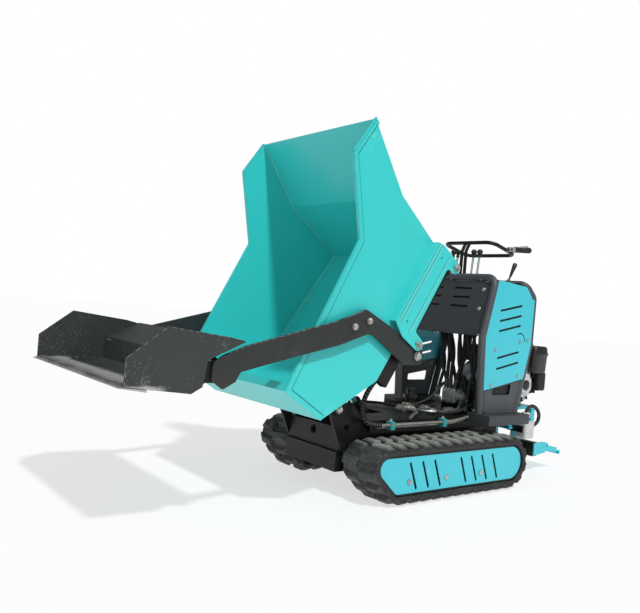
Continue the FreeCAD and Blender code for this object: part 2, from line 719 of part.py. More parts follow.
def build_tilt_frame():
    """Two rails under the skip, joined by cross bars, with arms to the pivot and gussets for the loader."""
    out, wide = size("rail_out"), size("rail_wide")
    top, low = size("rail_top"), size("rail_top") - size("rail_high")
    rear = size("rail_rear")
    rails = both_sides([box((out - wide - 6, 10, low), (out - 12, rear, top))])
    reach = out - 20
    cross = [box((-reach, 10, low + 24), (reach, 56, top))]
    cross.append(box((-reach, rear - 18, low + 12), (reach, rear, top)))
    arm_x = size("bracket_in") - 16
    angle = math.radians(size("tip_angle"))
    dy, dz = size("pivot_y") - size("floor_y"), size("pivot_z") - size("floor_z")
    pa = dy * math.cos(angle) + dz * math.sin(angle)
    pb = -dy * math.sin(angle) + dz * math.cos(angle)
    arm = [(pa - 26, pb - 22, 16), (pa + 20, pb - 26, 10), (56, low, 0), (56, -18, 0), (-20, -8, 0),
           (pa - 26, pb + 26, 16)]
    arms = both_sides([rounded_prism(arm, arm_x, 14)])
    qa, qb = size("arm_reach"), size("arm_high")
    gusset = [(qa - 40, low + 4), (qa - 24, qb - 24, 20), (qa + 24, qb - 24, 20), (qa + 52, low + 4)]
    gussets = both_sides([rounded_prism(gusset, out - 24, 12)])
    ra, rb = size("ram_top_reach"), size("ram_top_high")
    lugs = both_sides([box((19, ra - 24, rb - 18), (27, ra + 24, low + 26))])
    la, lb = size("lift_reach"), size("lift_high")
    lift = both_sides([box((26, la - 22, lb - 20), (34, la + 26, top))])
    pads = []
    for a, b in ((size("lug_front"), size("lug_front_high")), (size("lug_rear"), size("lug_rear_high"))):
        pads.append(box((out - 24, a - 20, min(b - 18, low + 1)), (out - 4, a + 20, top - 4)))
    frame = fused(rails + cross + arms + gussets + lugs + lift + both_sides(pads))
    holes = [rod((-400, qa, qb), (400, qa, qb), size("arm_shaft_rad") + size("shaft_clear")),
             rod((-200, pa, pb), (200, pa, pb), size("pivot_rad") + size("shaft_clear"))]
    for a, b in ((size("lug_front"), size("lug_front_high")), (size("lug_rear"), size("lug_rear_high"))):
        holes.append(rod((-out - 5, a, b), (-out + 60, a, b), size("pin_rad") + size("shaft_clear")))
        holes.append(rod((out - 60, a, b), (out + 5, a, b), size("pin_rad") + size("shaft_clear")))
    holes.append(rod((-40, la, lb), (40, la, lb), 8.05))
    for hole in holes:
        frame = frame.cut(hole)
    keep(tipped("tilt_frame", frame), "tilt_frame")


# ---------------------------------------------------------------- loader

def level_to_world(reach, high):
    """A point of the level skip drawing as (y, z) of the tipped machine."""
    angle = math.radians(size("tip_angle"))
    y = size("floor_y") + reach * math.cos(angle) - high * math.sin(angle)
    z = size("floor_z") + reach * math.sin(angle) + high * math.cos(angle)
    return y, z


def build_loader():
    qy, qz = level_to_world(size("arm_reach"), size("arm_high"))
    thick = size("arm_thick")
    bolts = [(-346, 609), (-286, 630)]
    rear = [(-378, 590, 26), (-356, 640, 26), (-291, 667, 20), (-179, 616, 30), (-102, 573, 16),
            (qy - 22, qz + 28, 14), (qy + 30, qz + 24, 22),
            (qy + 26, qz - 30, 22), (-99, 488, 20), (-139, 512, 30), (-252, 585, 60)]
    x = size("arm_in")
    holes = [(*b, 6.5) for b in bolts]
    pivot = [(qy, qz, size("arm_shaft_rad") + size("shaft_clear"))]
    inside = ("sizes.arm_in", 0, 0)
    pair(plate("arm_rear", "YZ", rear, "sizes.arm_thick", inside, holes=holes + pivot), "rear_arm_plates")
    front = [(-737, 538, 30), (-420, 622, 60), (-291, 667, 18), (-258, 630, 20), (-268, 592, 20),
             (-400, 548, 60), (-577, 506, 30), (-750, 463, 10), (-764, 436, 8), (-804, 414, 8),
             (-842, 440, 10), (-840, 490, 24), (-804, 512, 24)]
    outside = "sizes.arm_in + sizes.arm_thick + sizes.seat_gap"
    pair(plate("arm_front", "YZ", front, "sizes.arm_thick", (outside, 0, 0), holes=holes), "front_arm_plates")
    screws = []
    for y, z in bolts:
        outer = x + 2 * thick + 0.6
        head = rod((outer, y, z), (outer + 7, y, z), 11)
        screws.append(fused([rod((x - 1, y, z), (outer, y, z), 6.4), head]))
    feature("elbow_bolts", Part.makeCompound(both_sides(screws)))

    shaft = rod((-x - thick - 2, qy, qz), (x + thick + 2, qy, qz), size("arm_shaft_rad"))
    collars = both_sides([rod((x + thick + 0.3, qy, qz), (x + thick + 4, qy, qz), 21)])
    angle = math.radians(size("tip_angle") + 100)
    ly, lz = qy + size("lever_rad") * math.cos(angle), qz + size("lever_rad") * math.sin(angle)
    levers = []
    for cx in (-20, 12):
        start = rod((cx, qy, qz), (cx + 8, qy, qz), 24)
        tip = rod((cx, ly, lz), (cx + 8, ly, lz), 14)
        sy, sz = -math.sin(angle) * 13, math.cos(angle) * 13
        strap = [(qy + sy, qz + sz), (ly + sy, lz + sz), (ly - sy, lz - sz), (qy - sy, qz - sz)]
        web = prism(strap, cx, 8)
        levers.append(fused([start, tip, web]))
    feature("arm_cross_shaft", fused([shaft] + collars + levers))

    half, wall = size("bucket_half"), size("bucket_wall")
    line = [(-1096, 424), (-905, 405), (-872, 424), (-862, 496), (-746, 548)]
    back = strip(line, wall, -half + wall - 0.5, half - wall + 0.5)
    cheek = [(-1093, 426), (-905, 405), (-872, 424), (-862, 496), (-744, 549), (-792, 560), (-985, 583),
             (-1093, 499)]
    feature("bucket_shell", fused([back] + both_sides([prism(cheek, half - wall, wall)])))
    edge = [(-1108, 422), (-1030, 410.5), (-1030, 416.6), (-1100, 424)]
    feature("cutting_edge", prism(edge, -half, 2 * half))
    gap = size("seat_gap")
    outer = x + thick
    flange = offset_line([(-870.9, 432), (-863.1, 488)], -gap)
    flange += offset_line([(-870.9, 432), (-863.1, 488)], -8)[::-1]
    solids = [prism(flange, x - 40, thick + 48)]
    outline = [(-864, 432), (-856, 487), (-806, 500), (-776, 470), (-800, 432)]
    solids += [prism(outline, low, thick) for low in (x - 40, x)]
    solids.append(box((x - 40, -800, 462), (outer, -792, 490)))
    hinges = both_sides([fused(solids)])
    feature("bucket_brackets", Part.makeCompound(hinges))


# ---------------------------------------------------------------- cylinders

def cylinder_pair(names, base, tip, radii, lengths, eye_wide, pin_reach):
    """A hydraulic cylinder drawn along +X and turned from its base pin to its rod end in the YZ plane."""
    barrel_rad, bore_rad, rod_rad = radii
    barrel_length, rod_length = lengths
    (by, bz), (ty, tz) = base, tip
    reach = math.hypot(ty - by, tz - bz)
    turn = math.degrees(math.atan2(tz - bz, ty - by))
    body = rod((0, 26, 0), (0, barrel_length, 0), barrel_rad)
    body = body.cut(rod((0, 44, 0), (0, barrel_length - 14, 0), bore_rad))
    body = body.cut(rod((0, 40, 0), (0, barrel_length + 1, 0), rod_rad + size("shaft_clear")))
    eye = fused([rod((-eye_wide, 0, 0), (eye_wide, 0, 0), 18), box((-eye_wide, 0, -14), (eye_wide, 30, 14))])
    pin = rod((-pin_reach, 0, 0), (pin_reach, 0, 0), names[2])
    barrel = fused([body, eye, pin])
    feature(names[0], barrel, (0, by, bz), turn)
    start = reach - rod_length
    ram = rod((0, start, 0), (0, reach - 10, 0), rod_rad)
    piston = rod((0, start, 0), (0, start + 22, 0), bore_rad - size("shaft_clear"))
    end = rod((-eye_wide + 2, reach, 0), (eye_wide - 2, reach, 0), 14)
    feature(names[1], fused([ram, piston, end]), (0, by, bz), turn)


def build_cylinders():
    base = (size("ram_y"), size("ram_z"))
    tip = level_to_world(size("ram_top_reach"), size("ram_top_high"))
    radii = (size("barrel_rad"), size("bore_rad"), size("rod_rad"))
    lengths = (size("ram_barrel"), size("ram_rod"))
    cylinder_pair(("tip_barrel", "tip_rod", 12), base, tip, radii, lengths, 14, 42)
    base = level_to_world(size("lift_reach"), size("lift_high"))
    qy, qz = level_to_world(size("arm_reach"), size("arm_high"))
    angle = math.radians(size("tip_angle") + 100)
    tip = (qy + size("lever_rad") * math.cos(angle), qz + size("lever_rad") * math.sin(angle))
    radii = (size("lift_barrel_rad"), size("lift_bore_rad"), size("lift_rod_rad"))
    cylinder_pair(("lift_barrel", "lift_rod", 8), base, tip, radii, (size("lift_barrel"), 165), 10, 34)


# ---------------------------------------------------------------- console

def console_bolts():
    """Dome bolts of a side panel."""
    return [(508, 545), (720, 590), (668, 582), (500, 402), (672, 438)]


def build_console():
    half, radius = size("console_half"), size("tube_rad")
    bore = radius - size("tube_wall")
    foot = size("tray_top") - 8
    knee = (size("front_knee_y"), size("front_knee_z"))
    top = size("console_top") - radius
    front = [(-half, size("front_foot_y"), foot), (-half, *knee), (-half, size("front_top_y"), top),
             (half, size("front_top_y"), top), (half, *knee), (half, size("front_foot_y"), foot)]
    ry, rz = size("rear_knee_y"), size("rear_knee_z")
    rear_top = size("rear_top_z") - radius
    rear = [(-half, size("rear_foot_y"), foot), (-half, ry, rz), (-half, ry + 3, size("rear_shoulder_z")),
            (-half, size("rear_top_y"), rear_top), (half, size("rear_top_y"), rear_top),
            (half, ry + 3, size("rear_shoulder_z")), (half, ry, rz), (half, size("rear_foot_y"), foot)]
    floor = box((-half - 40, 400, 200), (half + 40, 800, size("tray_top") + size("seat_gap")))
    frames = [tube(front, radius, 42, bore).cut(floor), tube(rear, radius, 30, bore).cut(floor)]
    feature("console_tubes", Part.makeCompound(frames))

    lean = math.degrees(math.atan2(size("front_top_y") - knee[0], top - knee[1]))
    run = math.hypot(size("front_top_y") - knee[0], top - knee[1])
    slots = []
    for row in range(3):
        level = run * (0.80 - 0.155 * row)
        slots += [((side * 78 - 42, level), (side * 78 + 42, level), 4.5) for side in (-1, 1)]
    gap = size("seat_gap")
    inner = half - radius - gap
    outline = [(-inner, 8), (inner, 8), (inner, run - 18, 34), (-inner, run - 18, 34)]
    place = (0, knee[0] - 2, knee[1])
    keep(plate("front_panel", "XY", outline, "sizes.panel_thick", place, 90 - lean, slots=slots),
         "console_front_panel")

    side = [(482, 384), (690, 423), (737, 560), (738, 762, 40), (690, 812, 30), (520, 825, 10), (462, 598),
            (470, 500)]
    slots = [((530, z), (664, z + 27), 4.5) for z in (704, 662, 621, 511, 467)]
    holes = [(y, z, 4) for y, z in console_bolts()]
    x = "sizes.console_half + sizes.tube_rad - 4"
    arc = arc_slot_edges((668, 582), 34, 2, 122, 2.5)
    pair(plate("console_side", "YZ", None, "sizes.panel_thick", (x, 0, 0), slots=slots, holes=holes,
               edges=corner_edges(side) + arc), "console_sides")

    low = size("tray_top") + gap
    foot_plate = [(475, low), (664.5, low), (701.5, 430), (707, 455), (700, 462), (467.5, 419)]
    window = [(518, 360, 6), (634, 360, 6), (640, 404, 6), (520, 386, 6)]
    x = "sizes.console_half + sizes.tube_rad - 10"
    pair(plate("console_foot", "YZ", foot_plate, "sizes.panel_thick", (x, 0, 0), windows=[window],
               holes=[(500, 402, 4), (672, 438, 4)]), "console_feet")

    level = size("rear_top_z") - size("top_plate_drop")
    y0 = size("front_top_y") + beside_tube(top - level - size("panel_thick"))
    y1 = size("rear_top_y") - beside_tube(level - rear_top)
    slots = [((x, size("lever_y") - 16), (x, size("lever_y") + 16), 9) for x in lever_places()]
    outline = [(-inner, y0), (inner, y0), (inner, y1), (-inner, y1)]
    slots.append(((190, 618), (190, 650), 6.4))
    place = (0, 0, "sizes.rear_top_z - sizes.top_plate_drop")
    holes = [(-11, 560, 7.3), (11, 560, 7.3)]
    keep(plate("top_plate", "XY", outline, "sizes.panel_thick", place, slots=slots, holes=holes),
         "console_top")
    build_controls()
    build_trays()


def beside_tube(height):
    """How far to the side a sheet's edge stands off a console tube's axis at a height above or below it."""
    reach = size("tube_rad") + size("seat_gap")
    return math.sqrt(reach * reach - height * height)


def lever_places():
    """Across-machine places of the four control levers, two each side of the handle's supports."""
    return [-70, -44, 44, 76]


def build_controls():
    y, z = size("lever_y"), size("lever_pivot_z")
    tall = size("lever_length")
    for number, x in enumerate(lever_places(), start=1):
        stem = rod((x, y, z), (x, y + 14, z + tall), size("lever_rod_rad"))
        knob = Part.makeSphere(size("knob_rad"), Vector(x, y + 15, z + tall + 6))
        ball = rod((x - 7, y, z), (x + 7, y, z), 8)
        feature(f"control_lever_{number}", fused([stem, knob, ball]))
    block = box((-105, y - 24, 700), (105, y + 30, 782))
    sheets = [x + side * 9 for x in lever_places() for side in (-1, 1)]
    cheeks = [box((x - 1.5, y - 10, 780), (x + 1.5, y + 10, z + 8)) for x in sheets]
    ports = [rod((x, y, 672), (x, y, 701), 9) for x in lever_places()]
    hanger = [box((side * 105 - 4, y - 20, 775), (side * 105 + 4, y + 20, 826 - 0.3)) for side in (-1, 1)]
    feature("valve_block", fused([block] + cheeks + ports + hanger))

    loop = [(0, 578, 990), (-135, 578, 990), (-135, 742, 951), (135, 742, 951), (135, 578, 990)]
    ring = closed_loop(loop)
    posts = [tube([(x, 560, 826), (x, 560, 950), (x, 579, 988)], 7, 26) for x in (-11, 11)]
    feature("handle_loop", fused([ring] + posts))

    cone = Part.makeCone(5, 9, 62, Vector(190, 641, 848), Vector(0, 0.5, 1))
    stem = rod((190, 634, 834), (190, 643, 852), 3.5)
    pivot = rod((184, 634, 834), (196, 634, 834), 6)
    tip = Part.makeSphere(9.8, Vector(190, 641 + 61 * 0.447, 848 + 61 * 0.894))
    feature("throttle_lever", fused([cone, stem, pivot, tip]))
    grip = rod((158, 700, 972), (158, 812, 980), 13)
    neck = rod((158, 672, 970), (158, 702, 972), 7)
    hub = rod((143.3, 672, 970), (166, 672, 970), 10)
    feature("grip_lever", fused([grip, neck, hub]))


def closed_loop(corners):
    """The hand loop: straight bars joined by bends, closed on itself."""
    path = route(corners[1:], 38, closed=True)
    first = path.Edges[0]
    start = first.FirstParameter
    ring = Part.Wire(Part.makeCircle(8, first.valueAt(start), first.tangentAt(start)))
    return path.makePipeShell([ring], True, True)


def build_trays():
    """Open trays outside the deck that carry the console's feet, on brackets from the deck's edge."""
    low, top = size("tray_low"), size("tray_top")
    a, b = size("tray_in"), size("tray_out")
    front, rear = size("tray_front"), size("tray_rear")
    tray = box((a, front, low), (b, rear, top))
    tray = tray.cut(box((a + 4, front + 4, low - 1), (b - 4, rear - 4, top - 5)))
    feature("side_trays", Part.makeCompound(both_sides([tray])))


# ---------------------------------------------------------------- engine, hydraulics, rear

def build_engine():
    y, z = size("engine_y"), size("engine_z")
    left, right = size("engine_in"), size("engine_out")
    base = box((-130, 703, 288), (200, 900, 296))
    rails, posts = [], []
    for front in (703, 862):
        rails.append(box((-130, front, 205), (200, front + 27, 215)))
        posts += [box((x, front + 2, 215), (x + 30, front + 27, 288)) for x in (-125, 165)]
        posts += both_sides([box((92, front + 2, size("beam_low") + 0.3), (128, front + 27, 205))])
    feature("engine_base", butted([base] + rails + posts))
    case = fused([rod((left, y, z), (right, y, z), 74), box((left, y - 70, 296.3), (right, y + 78, z))])
    head = box((left + 40, y + 40, z - 30), (right - 30, y + 118, z + 46))
    rows = [y + 52 + 13 * k for k in range(5)]
    fins = [box((left + 34, row, z - 36), (right - 24, row + 5, z + 52)) for row in rows]
    feature("engine_block", fused([case, head] + fins))
    shroud = rod((right + 0.3, y, z), (right + 55, y, z), 80)
    boss = rod((right + 55, y, z), (right + 72, y, z), 40)
    shroud = fused([shroud, boss]).cut(rod((right + 66, y, z), (right + 80, y, z), 28))
    feature("recoil_starter", shroud)
    tank = box((left - 20, y - 50, z + 74.3), (right - 60, y + 110, z + 150))
    tank = tank.makeFillet(14, [e for e in tank.Edges])
    cap = rod((0, y + 30, z + 149), (0, y + 30, z + 166), 24)
    feature("fuel_tank", fused([tank, cap]))
    can = rod((right - 50, y + 82, z + 116), (right + 88, y + 82, z + 116), 54)
    lid = rod((right + 88, y + 82, z + 116), (right + 94, y + 82, z + 116), 48)
    neck = box((right - 50, y + 60, z + 52.3), (right - 14, y + 100, z + 90))
    feature("air_filter", fused([can, lid, neck]))
    muffler = box((right - 10, y + 84, z - 26), (right + 76, y + 140, z + 56))
    muffler = muffler.makeFillet(10, [e for e in muffler.Edges])
    pipe = rod((right + 30, y + 110, z - 40), (right + 30, y + 110, z - 20), 12)
    port = rod((right - 23.7, y + 100, z + 10), (right, y + 100, z + 10), 14)
    feature("muffler", fused([muffler, pipe, port]))


def build_hydraulics():
    pump = box((10, 478, 302), (78, 536, 362))
    shaft = rod((78, 507, 334), (112, 507, 334), 24)
    filter_bowl = rod((44, 560, 300), (44, 560, 400), 30)
    bowl_cap = rod((44, 560, 400), (44, 560, 412), 22)
    tank = box((-20, 590, 270.3), (80, 668, 350))
    link = box((30, 530, 305), (60, 600, 330))
    feet = box((10, 478, 270.3), (78, 570, 304))
    feature("hydraulic_unit", fused([pump, shaft, filter_bowl, bowl_cap, tank, link, feet]))
    side = size("deck_half")
    lines = []
    for k, x in enumerate((side + 9, side + 23)):
        level = 246 + 10 * k
        lines.append(tube([(x, -62, level), (x, 330, level), (x, 420, level + 14)], 6, 60))
    clamps = [box((side + 0.3, y, 236), (side + 32, y + 22, 268)) for y in (-10, 270)]
    feature("hydraulic_pipes", fused(lines + clamps))
    hoses = []
    ends = [(22, 490), (46, 487), (58, 511), (70, 488)]
    for x, (end_x, end_y) in zip(lever_places(), ends):
        middle = (x * 0.55 + end_x * 0.45, 556, 520)
        low = (x * 0.1 + end_x * 0.9, end_y + 12, 430)
        hoses.append(tube([(x, 560, 671.5), (x, 560, 610), middle, low, (end_x, end_y, 364.2)], 8, 45))
    feature("console_hoses", Part.makeCompound(hoses))
    reservoir = box((205, 735, 172), (262, 800, 246))
    reservoir = reservoir.makeFillet(9, [e for e in reservoir.Edges])
    neck = rod((234, 768, 245), (234, 768, 262), 14)
    cap = rod((234, 768, 262), (234, 768, 282), 19)
    bracket = box((170, 730.3, 198), (250, 735.5, 226))
    feature("oil_reservoir", fused([reservoir, neck, cap, bracket]))


def build_rear():
    end = size("beam_rear")
    y, z = size("step_y"), size("step_z")
    half = size("step_half")
    start = end - 29.7
    outline = [(start, 78), (y + 10, z - 26, 8), (y + 40, z - 8, 10), (y + 30, z + 18, 14),
               (y - 10, z + 24, 12), (start, 134)]
    holes = [(y, z, 8.05), (y + 24, z + 2, 5)]
    place = ("sizes.step_half + 4.3", 0, 0)
    pair(plate("step_bracket", "YZ", outline, 6, place, holes=holes), "step_brackets")
    slope = math.radians(size("step_slope"))
    board = box((-half, 6, -3), (half, size("step_deep"), 2))
    barrel = rod((-half - 11, 0, 0), (half + 11, 0, 0), 8)
    sleeve = rod((-half, 0, 0), (half, 0, 0), 13)
    lip = box((-half, size("step_deep") - 5, -16), (half, size("step_deep"), 2))
    cheeks = both_sides([box((half - 5, 0, -12), (half, size("step_deep") - 30, 12))])
    feature("step_plate", fused([board, barrel, sleeve, lip] + cheeks), (0, y, z), math.degrees(slope))


build_tracks()
build_chassis()
build_skip()
build_tilt_frame()
build_loader()
build_cylinders()
build_console()
build_engine()
build_hydraulics()
build_rear()
doc.recompute()

for item in doc.Objects:
    if "Invalid" in item.State or "Error" in item.State:
        raise RuntimeError(f"{item.Label} failed: {item.State}")
for item in parts:
    if item.Shape.isNull() or not item.Shape.isValid():
        raise RuntimeError(f"{item.Label} has no valid shape")
os.makedirs("parts", exist_ok=True)
for item in parts:
    item.Shape.exportStep(f"parts/{item.Label}.step")
print(len(parts), "pieces written")
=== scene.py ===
import json
import math

import bmesh
import bpy
import numpy as np
from mathutils import Matrix, Vector


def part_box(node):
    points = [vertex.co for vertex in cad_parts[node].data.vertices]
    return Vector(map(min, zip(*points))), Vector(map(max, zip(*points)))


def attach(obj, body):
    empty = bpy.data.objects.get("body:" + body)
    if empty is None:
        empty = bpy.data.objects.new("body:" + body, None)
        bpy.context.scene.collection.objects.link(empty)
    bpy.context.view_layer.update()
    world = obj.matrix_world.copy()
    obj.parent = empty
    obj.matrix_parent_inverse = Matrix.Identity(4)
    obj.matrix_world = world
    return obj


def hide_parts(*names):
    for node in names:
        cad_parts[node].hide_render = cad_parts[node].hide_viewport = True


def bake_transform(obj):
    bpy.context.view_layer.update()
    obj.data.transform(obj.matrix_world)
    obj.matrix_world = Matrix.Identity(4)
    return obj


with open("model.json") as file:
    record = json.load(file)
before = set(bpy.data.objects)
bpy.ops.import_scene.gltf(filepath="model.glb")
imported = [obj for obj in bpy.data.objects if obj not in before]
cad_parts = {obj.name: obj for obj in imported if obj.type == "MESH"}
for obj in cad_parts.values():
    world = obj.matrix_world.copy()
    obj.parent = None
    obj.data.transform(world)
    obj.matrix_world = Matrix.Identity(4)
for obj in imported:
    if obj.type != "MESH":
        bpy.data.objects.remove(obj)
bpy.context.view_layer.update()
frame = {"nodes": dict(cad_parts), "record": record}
nodes = frame["nodes"]
bodies = frame["record"]["behaviour"]["bodies"]
holder = {node: body for body, members in bodies.items() for node in members}
slotOf = {part["node"]: part["material_slot"] for part in frame["record"]["subparts"]}
axisX, axisY, axisZ = range(3)
scene = bpy.context.scene
print("frame loaded:", len(nodes), "nodes")


camera = {"place": (2.0204, -1.7971, 0.6694), "azimuth": 51.85, "elevation": 0.15, "roll": 4.6,
          "lens": 39.35}


def placeCamera():
    # camera at its place, turned by azimuth and elevation, then rolled about its own line of sight
    turn, lift = math.radians(camera["azimuth"]), math.radians(camera["elevation"])
    back = Vector((math.sin(turn) * math.cos(lift), -math.cos(turn) * math.cos(lift), math.sin(lift)))
    lensData = bpy.data.cameras.new("viewLens")
    lensData.lens = camera["lens"]
    viewer = bpy.data.objects.new("viewCamera", lensData)
    aim = back.to_track_quat("Z", "Y").to_matrix().to_4x4()
    roll = Matrix.Rotation(math.radians(camera["roll"]), 4, "Z")
    viewer.matrix_world = Matrix.Translation(camera["place"]) @ aim @ roll
    scene.collection.objects.link(viewer)
    scene.camera = viewer


placeCamera()


class Wire:
    # one output socket of a finish; arithmetic on it adds Math nodes
    def __init__(self, finish, socket):
        self.finish, self.socket = finish, socket

    def calc(self, operation, first, second=0.0):
        return self.finish.add("ShaderNodeMath", {"operation": operation}, [first, second])

    def __add__(self, other):
        return self.calc("ADD", self, other)

    def __radd__(self, other):
        return self.calc("ADD", other, self)

    def __sub__(self, other):
        return self.calc("SUBTRACT", self, other)

    def __rsub__(self, other):
        return self.calc("SUBTRACT", other, self)

    def __mul__(self, other):
        return self.calc("MULTIPLY", self, other)

    def __rmul__(self, other):
        return self.calc("MULTIPLY", other, self)

    def __gt__(self, other):
        return self.calc("GREATER_THAN", self, other)

    def __lt__(self, other):
        return self.calc("LESS_THAN", self, other)

    def wave(self):
        return self.calc("SINE", self)

    def size(self):
        return self.calc("ABSOLUTE", self)


def tint(red, green, blue):
    # screen colour in 0-255 steps to the linear colour that a shader mixes
    shares = [c / 255 for c in (red, green, blue)]
    return tuple(c / 12.92 if c <= 0.04045 else ((c + 0.055) / 1.055) ** 2.4 for c in shares) + (1.0,)


class Finish:
    # one material: its node tree, its Principled shader and short ways to add nodes
    def __init__(self, name):
        self.material = bpy.data.materials.new(name)
        self.material.use_nodes = True
        self.tree = self.material.node_tree
        self.shader = self.tree.nodes["Principled BSDF"]
        self.place = self.add("ShaderNodeTexCoord", output="Object")

    def add(self, kind, settings=None, values=(), output=0):
        node = self.tree.nodes.new(kind)
        for key, value in (settings or {}).items():
            if key == "stops":
                self.setStops(node.color_ramp, value)
            else:
                setattr(node, key, value)
        for key, value in (values.items() if isinstance(values, dict) else enumerate(values)):
            self.feed(node.inputs[key], value)
        return Wire(self, node.outputs[output])

    def feed(self, socket, value):
        if isinstance(value, Wire):
            self.tree.links.new(value.socket, socket)
        else:
            socket.default_value = value

    def setStops(self, ramp, stops):
        while len(ramp.elements) < len(stops):
            ramp.elements.new(0.5)
        for element, (place, level) in zip(ramp.elements, stops):
            element.position = place
            element.color = (level, level, level, 1.0)

    def noise(self, scale, detail=3.0, roughness=0.5, at=None):
        values = {"Vector": at or self.place, "Scale": scale, "Detail": detail, "Roughness": roughness}
        return self.add("ShaderNodeTexNoise", None, values)

    def specks(self, scale, at=None):
        return self.add("ShaderNodeTexVoronoi", None, {"Vector": at or self.place, "Scale": scale})

    def stretched(self, along, across, up, at=None):
        return self.add("ShaderNodeMapping", None,
                        {"Vector": at or self.place, "Scale": (along, across, up)})

    def ramp(self, value, *stops):
        return self.add("ShaderNodeValToRGB", {"stops": stops}, [value])

    def mix(self, mask, first, second):
        return self.add("ShaderNodeMix", {"data_type": "RGBA"}, {0: mask, 6: first, 7: second}, 2)

    def axis(self, letter, at=None):
        return self.add("ShaderNodeSeparateXYZ", None, [at or self.place], letter)

    def bump(self, height, depth, strength=1.0):
        values = {"Height": height, "Distance": depth, "Strength": strength}
        return self.add("ShaderNodeBump", None, values)

    def done(self, **sockets):
        for key, value in sockets.items():
            self.feed(self.shader.inputs[key.replace("_", " ")], value)
        return self.material


# wheels as (y, z, radius); rim: where the dark strip inside the root lies; top: above this height the belt
# is painted paler as a painted highlight
belt = {"wheels": [(0.546, 0.106, 0.072), (-0.126, 0.133, 0.045), (-0.069, 0.074, 0.040)], "thick": 0.016,
        "pitch": 0.060, "wide": 0.180, "outer": 0.347, "rim": (0.0028, 0.0085), "top": 0.199,
        "crown": 0.0178}

paint = {"skip": (tint(58, 208, 205), tint(52, 199, 199)),
         "panels": (tint(64, 198, 212), tint(58, 190, 206)), "dust": tint(150, 226, 222)}


def turquoisePaint(name, tones):
    # glossy powder coat: broad drift between two tones, a fine orange peel and a little pale dust
    coat = Finish(name)
    drift = coat.noise(2.2, 2.0)
    dust = coat.ramp(coat.noise(95.0, 6.0, 0.75) * coat.ramp(coat.noise(7.0, 3.0), (0.45, 0.0), (0.7, 1.0)),
                     (0.46, 0.0), (0.62, 1.0))
    colour = coat.mix(drift, tones[1], tones[0])
    colour = coat.mix(dust * 0.35, colour, paint["dust"])
    peel = coat.noise(260.0, 2.0) * 0.6 + coat.noise(30.0, 2.0) * 0.4
    rough = 0.3 + coat.noise(18.0, 4.0) * 0.14 + dust * 0.2
    return coat.done(Base_Color=colour, Roughness=rough, Normal=coat.bump(peel, 0.0004, 0.35),
                     Coat_Weight=0.25, Coat_Roughness=0.2, Specular_IOR_Level=0.4)


def darkPaint(name, base, scuffed, amount, gloss, grain=1.0, shine=0.5):
    # dark painted steel: base coat, scuffs where a coarse and a fine noise meet, dust specks
    coat = Finish(name)
    broad = coat.ramp(coat.noise(5.0, 5.0, 0.6), (0.35, 0.0), (0.75, 1.0))
    fine = coat.noise(120.0, 6.0, 0.7)
    scuff = coat.ramp(broad * fine, (0.26, 0.0), (0.5, 1.0))
    speck = coat.specks(170.0) < coat.ramp(coat.noise(11.0, 3.0), (0.5, 0.0), (0.8, 1.0)) * 0.17
    colour = coat.mix(coat.noise(9.0, 4.0) * 0.8, base, [c * 1.35 for c in base[:3]] + [1.0])
    colour = coat.mix(scuff * amount, colour, scuffed)
    colour = coat.mix(speck * amount, colour, scuffed)
    rough = gloss + coat.noise(26.0, 4.0) * 0.18 + scuff * 0.15
    height = coat.noise(230.0 * grain, 3.0) * 0.7 + scuff * 0.3
    return coat.done(Base_Color=colour, Roughness=rough, Normal=coat.bump(height, 0.0005, 0.4),
                     Specular_IOR_Level=shine)


def plainMetal(name, base, dark, rough, brushed, metallic=1.0):
    # bare or plated metal: brushed lines along one axis, darker stains in its hollows
    metal = Finish(name)
    lines = metal.noise(60.0, 3.0, 0.6, metal.stretched(*brushed))
    stain = metal.ramp(metal.noise(34.0, 5.0, 0.65), (0.42, 0.0), (0.7, 1.0))
    colour = metal.mix(stain * 0.6, base, dark)
    return metal.done(Base_Color=colour, Roughness=rough + lines * 0.2 + stain * 0.15, Metallic=metallic,
                      Normal=metal.bump(lines, 0.0003, 0.3))


def rubberFinish(name, base, pale, depth, scale):
    # moulded rubber: pebbled skin, pale dust in patches, a painted highlight on the belt's top run, dark
    # sides
    rubber = Finish(name)
    dust = rubber.ramp(rubber.noise(scale, 6.0, 0.7) * rubber.noise(6.0, 2.0), (0.2, 0.0), (0.45, 1.0))
    # painted highlight: the top run is painted paler, as if lit from above
    paintedTopHighlight = rubber.ramp((rubber.axis("Z") - belt["top"]) * 90.0, (0.0, 0.0), (1.0, 1.0))
    paintedTopHighlight = paintedTopHighlight * (0.35 + rubber.noise(30.0, 5.0) * 0.9)
    colour = rubber.mix(dust * 0.25, base, pale)
    colour = rubber.mix(paintedTopHighlight, colour, pale)
    rimSide = rubber.axis("X").size() > belt["outer"] - 0.0013
    colour = rubber.mix(rimSide * 0.75, colour, tint(24, 25, 24))
    pebble = rubber.noise(420.0, 3.0) * 0.5 + rubber.noise(80.0, 3.0) * 0.5
    return rubber.done(Base_Color=colour, Roughness=0.62 + dust * 0.2 - pebble * 0.1,
                       Normal=rubber.bump(pebble, depth, 0.5))


def plasticFinish(name, base, worn, rough, scale=300.0):
    # moulded plastic: a fine leather grain and faint wear
    plastic = Finish(name)
    wear = plastic.ramp(plastic.noise(40.0, 5.0, 0.7), (0.5, 0.0), (0.8, 1.0))
    grain = plastic.specks(scale)
    return plastic.done(Base_Color=plastic.mix(wear * 0.5, base, worn), Roughness=rough + wear * 0.15,
                        Normal=plastic.bump(grain, 0.0003, 0.3))


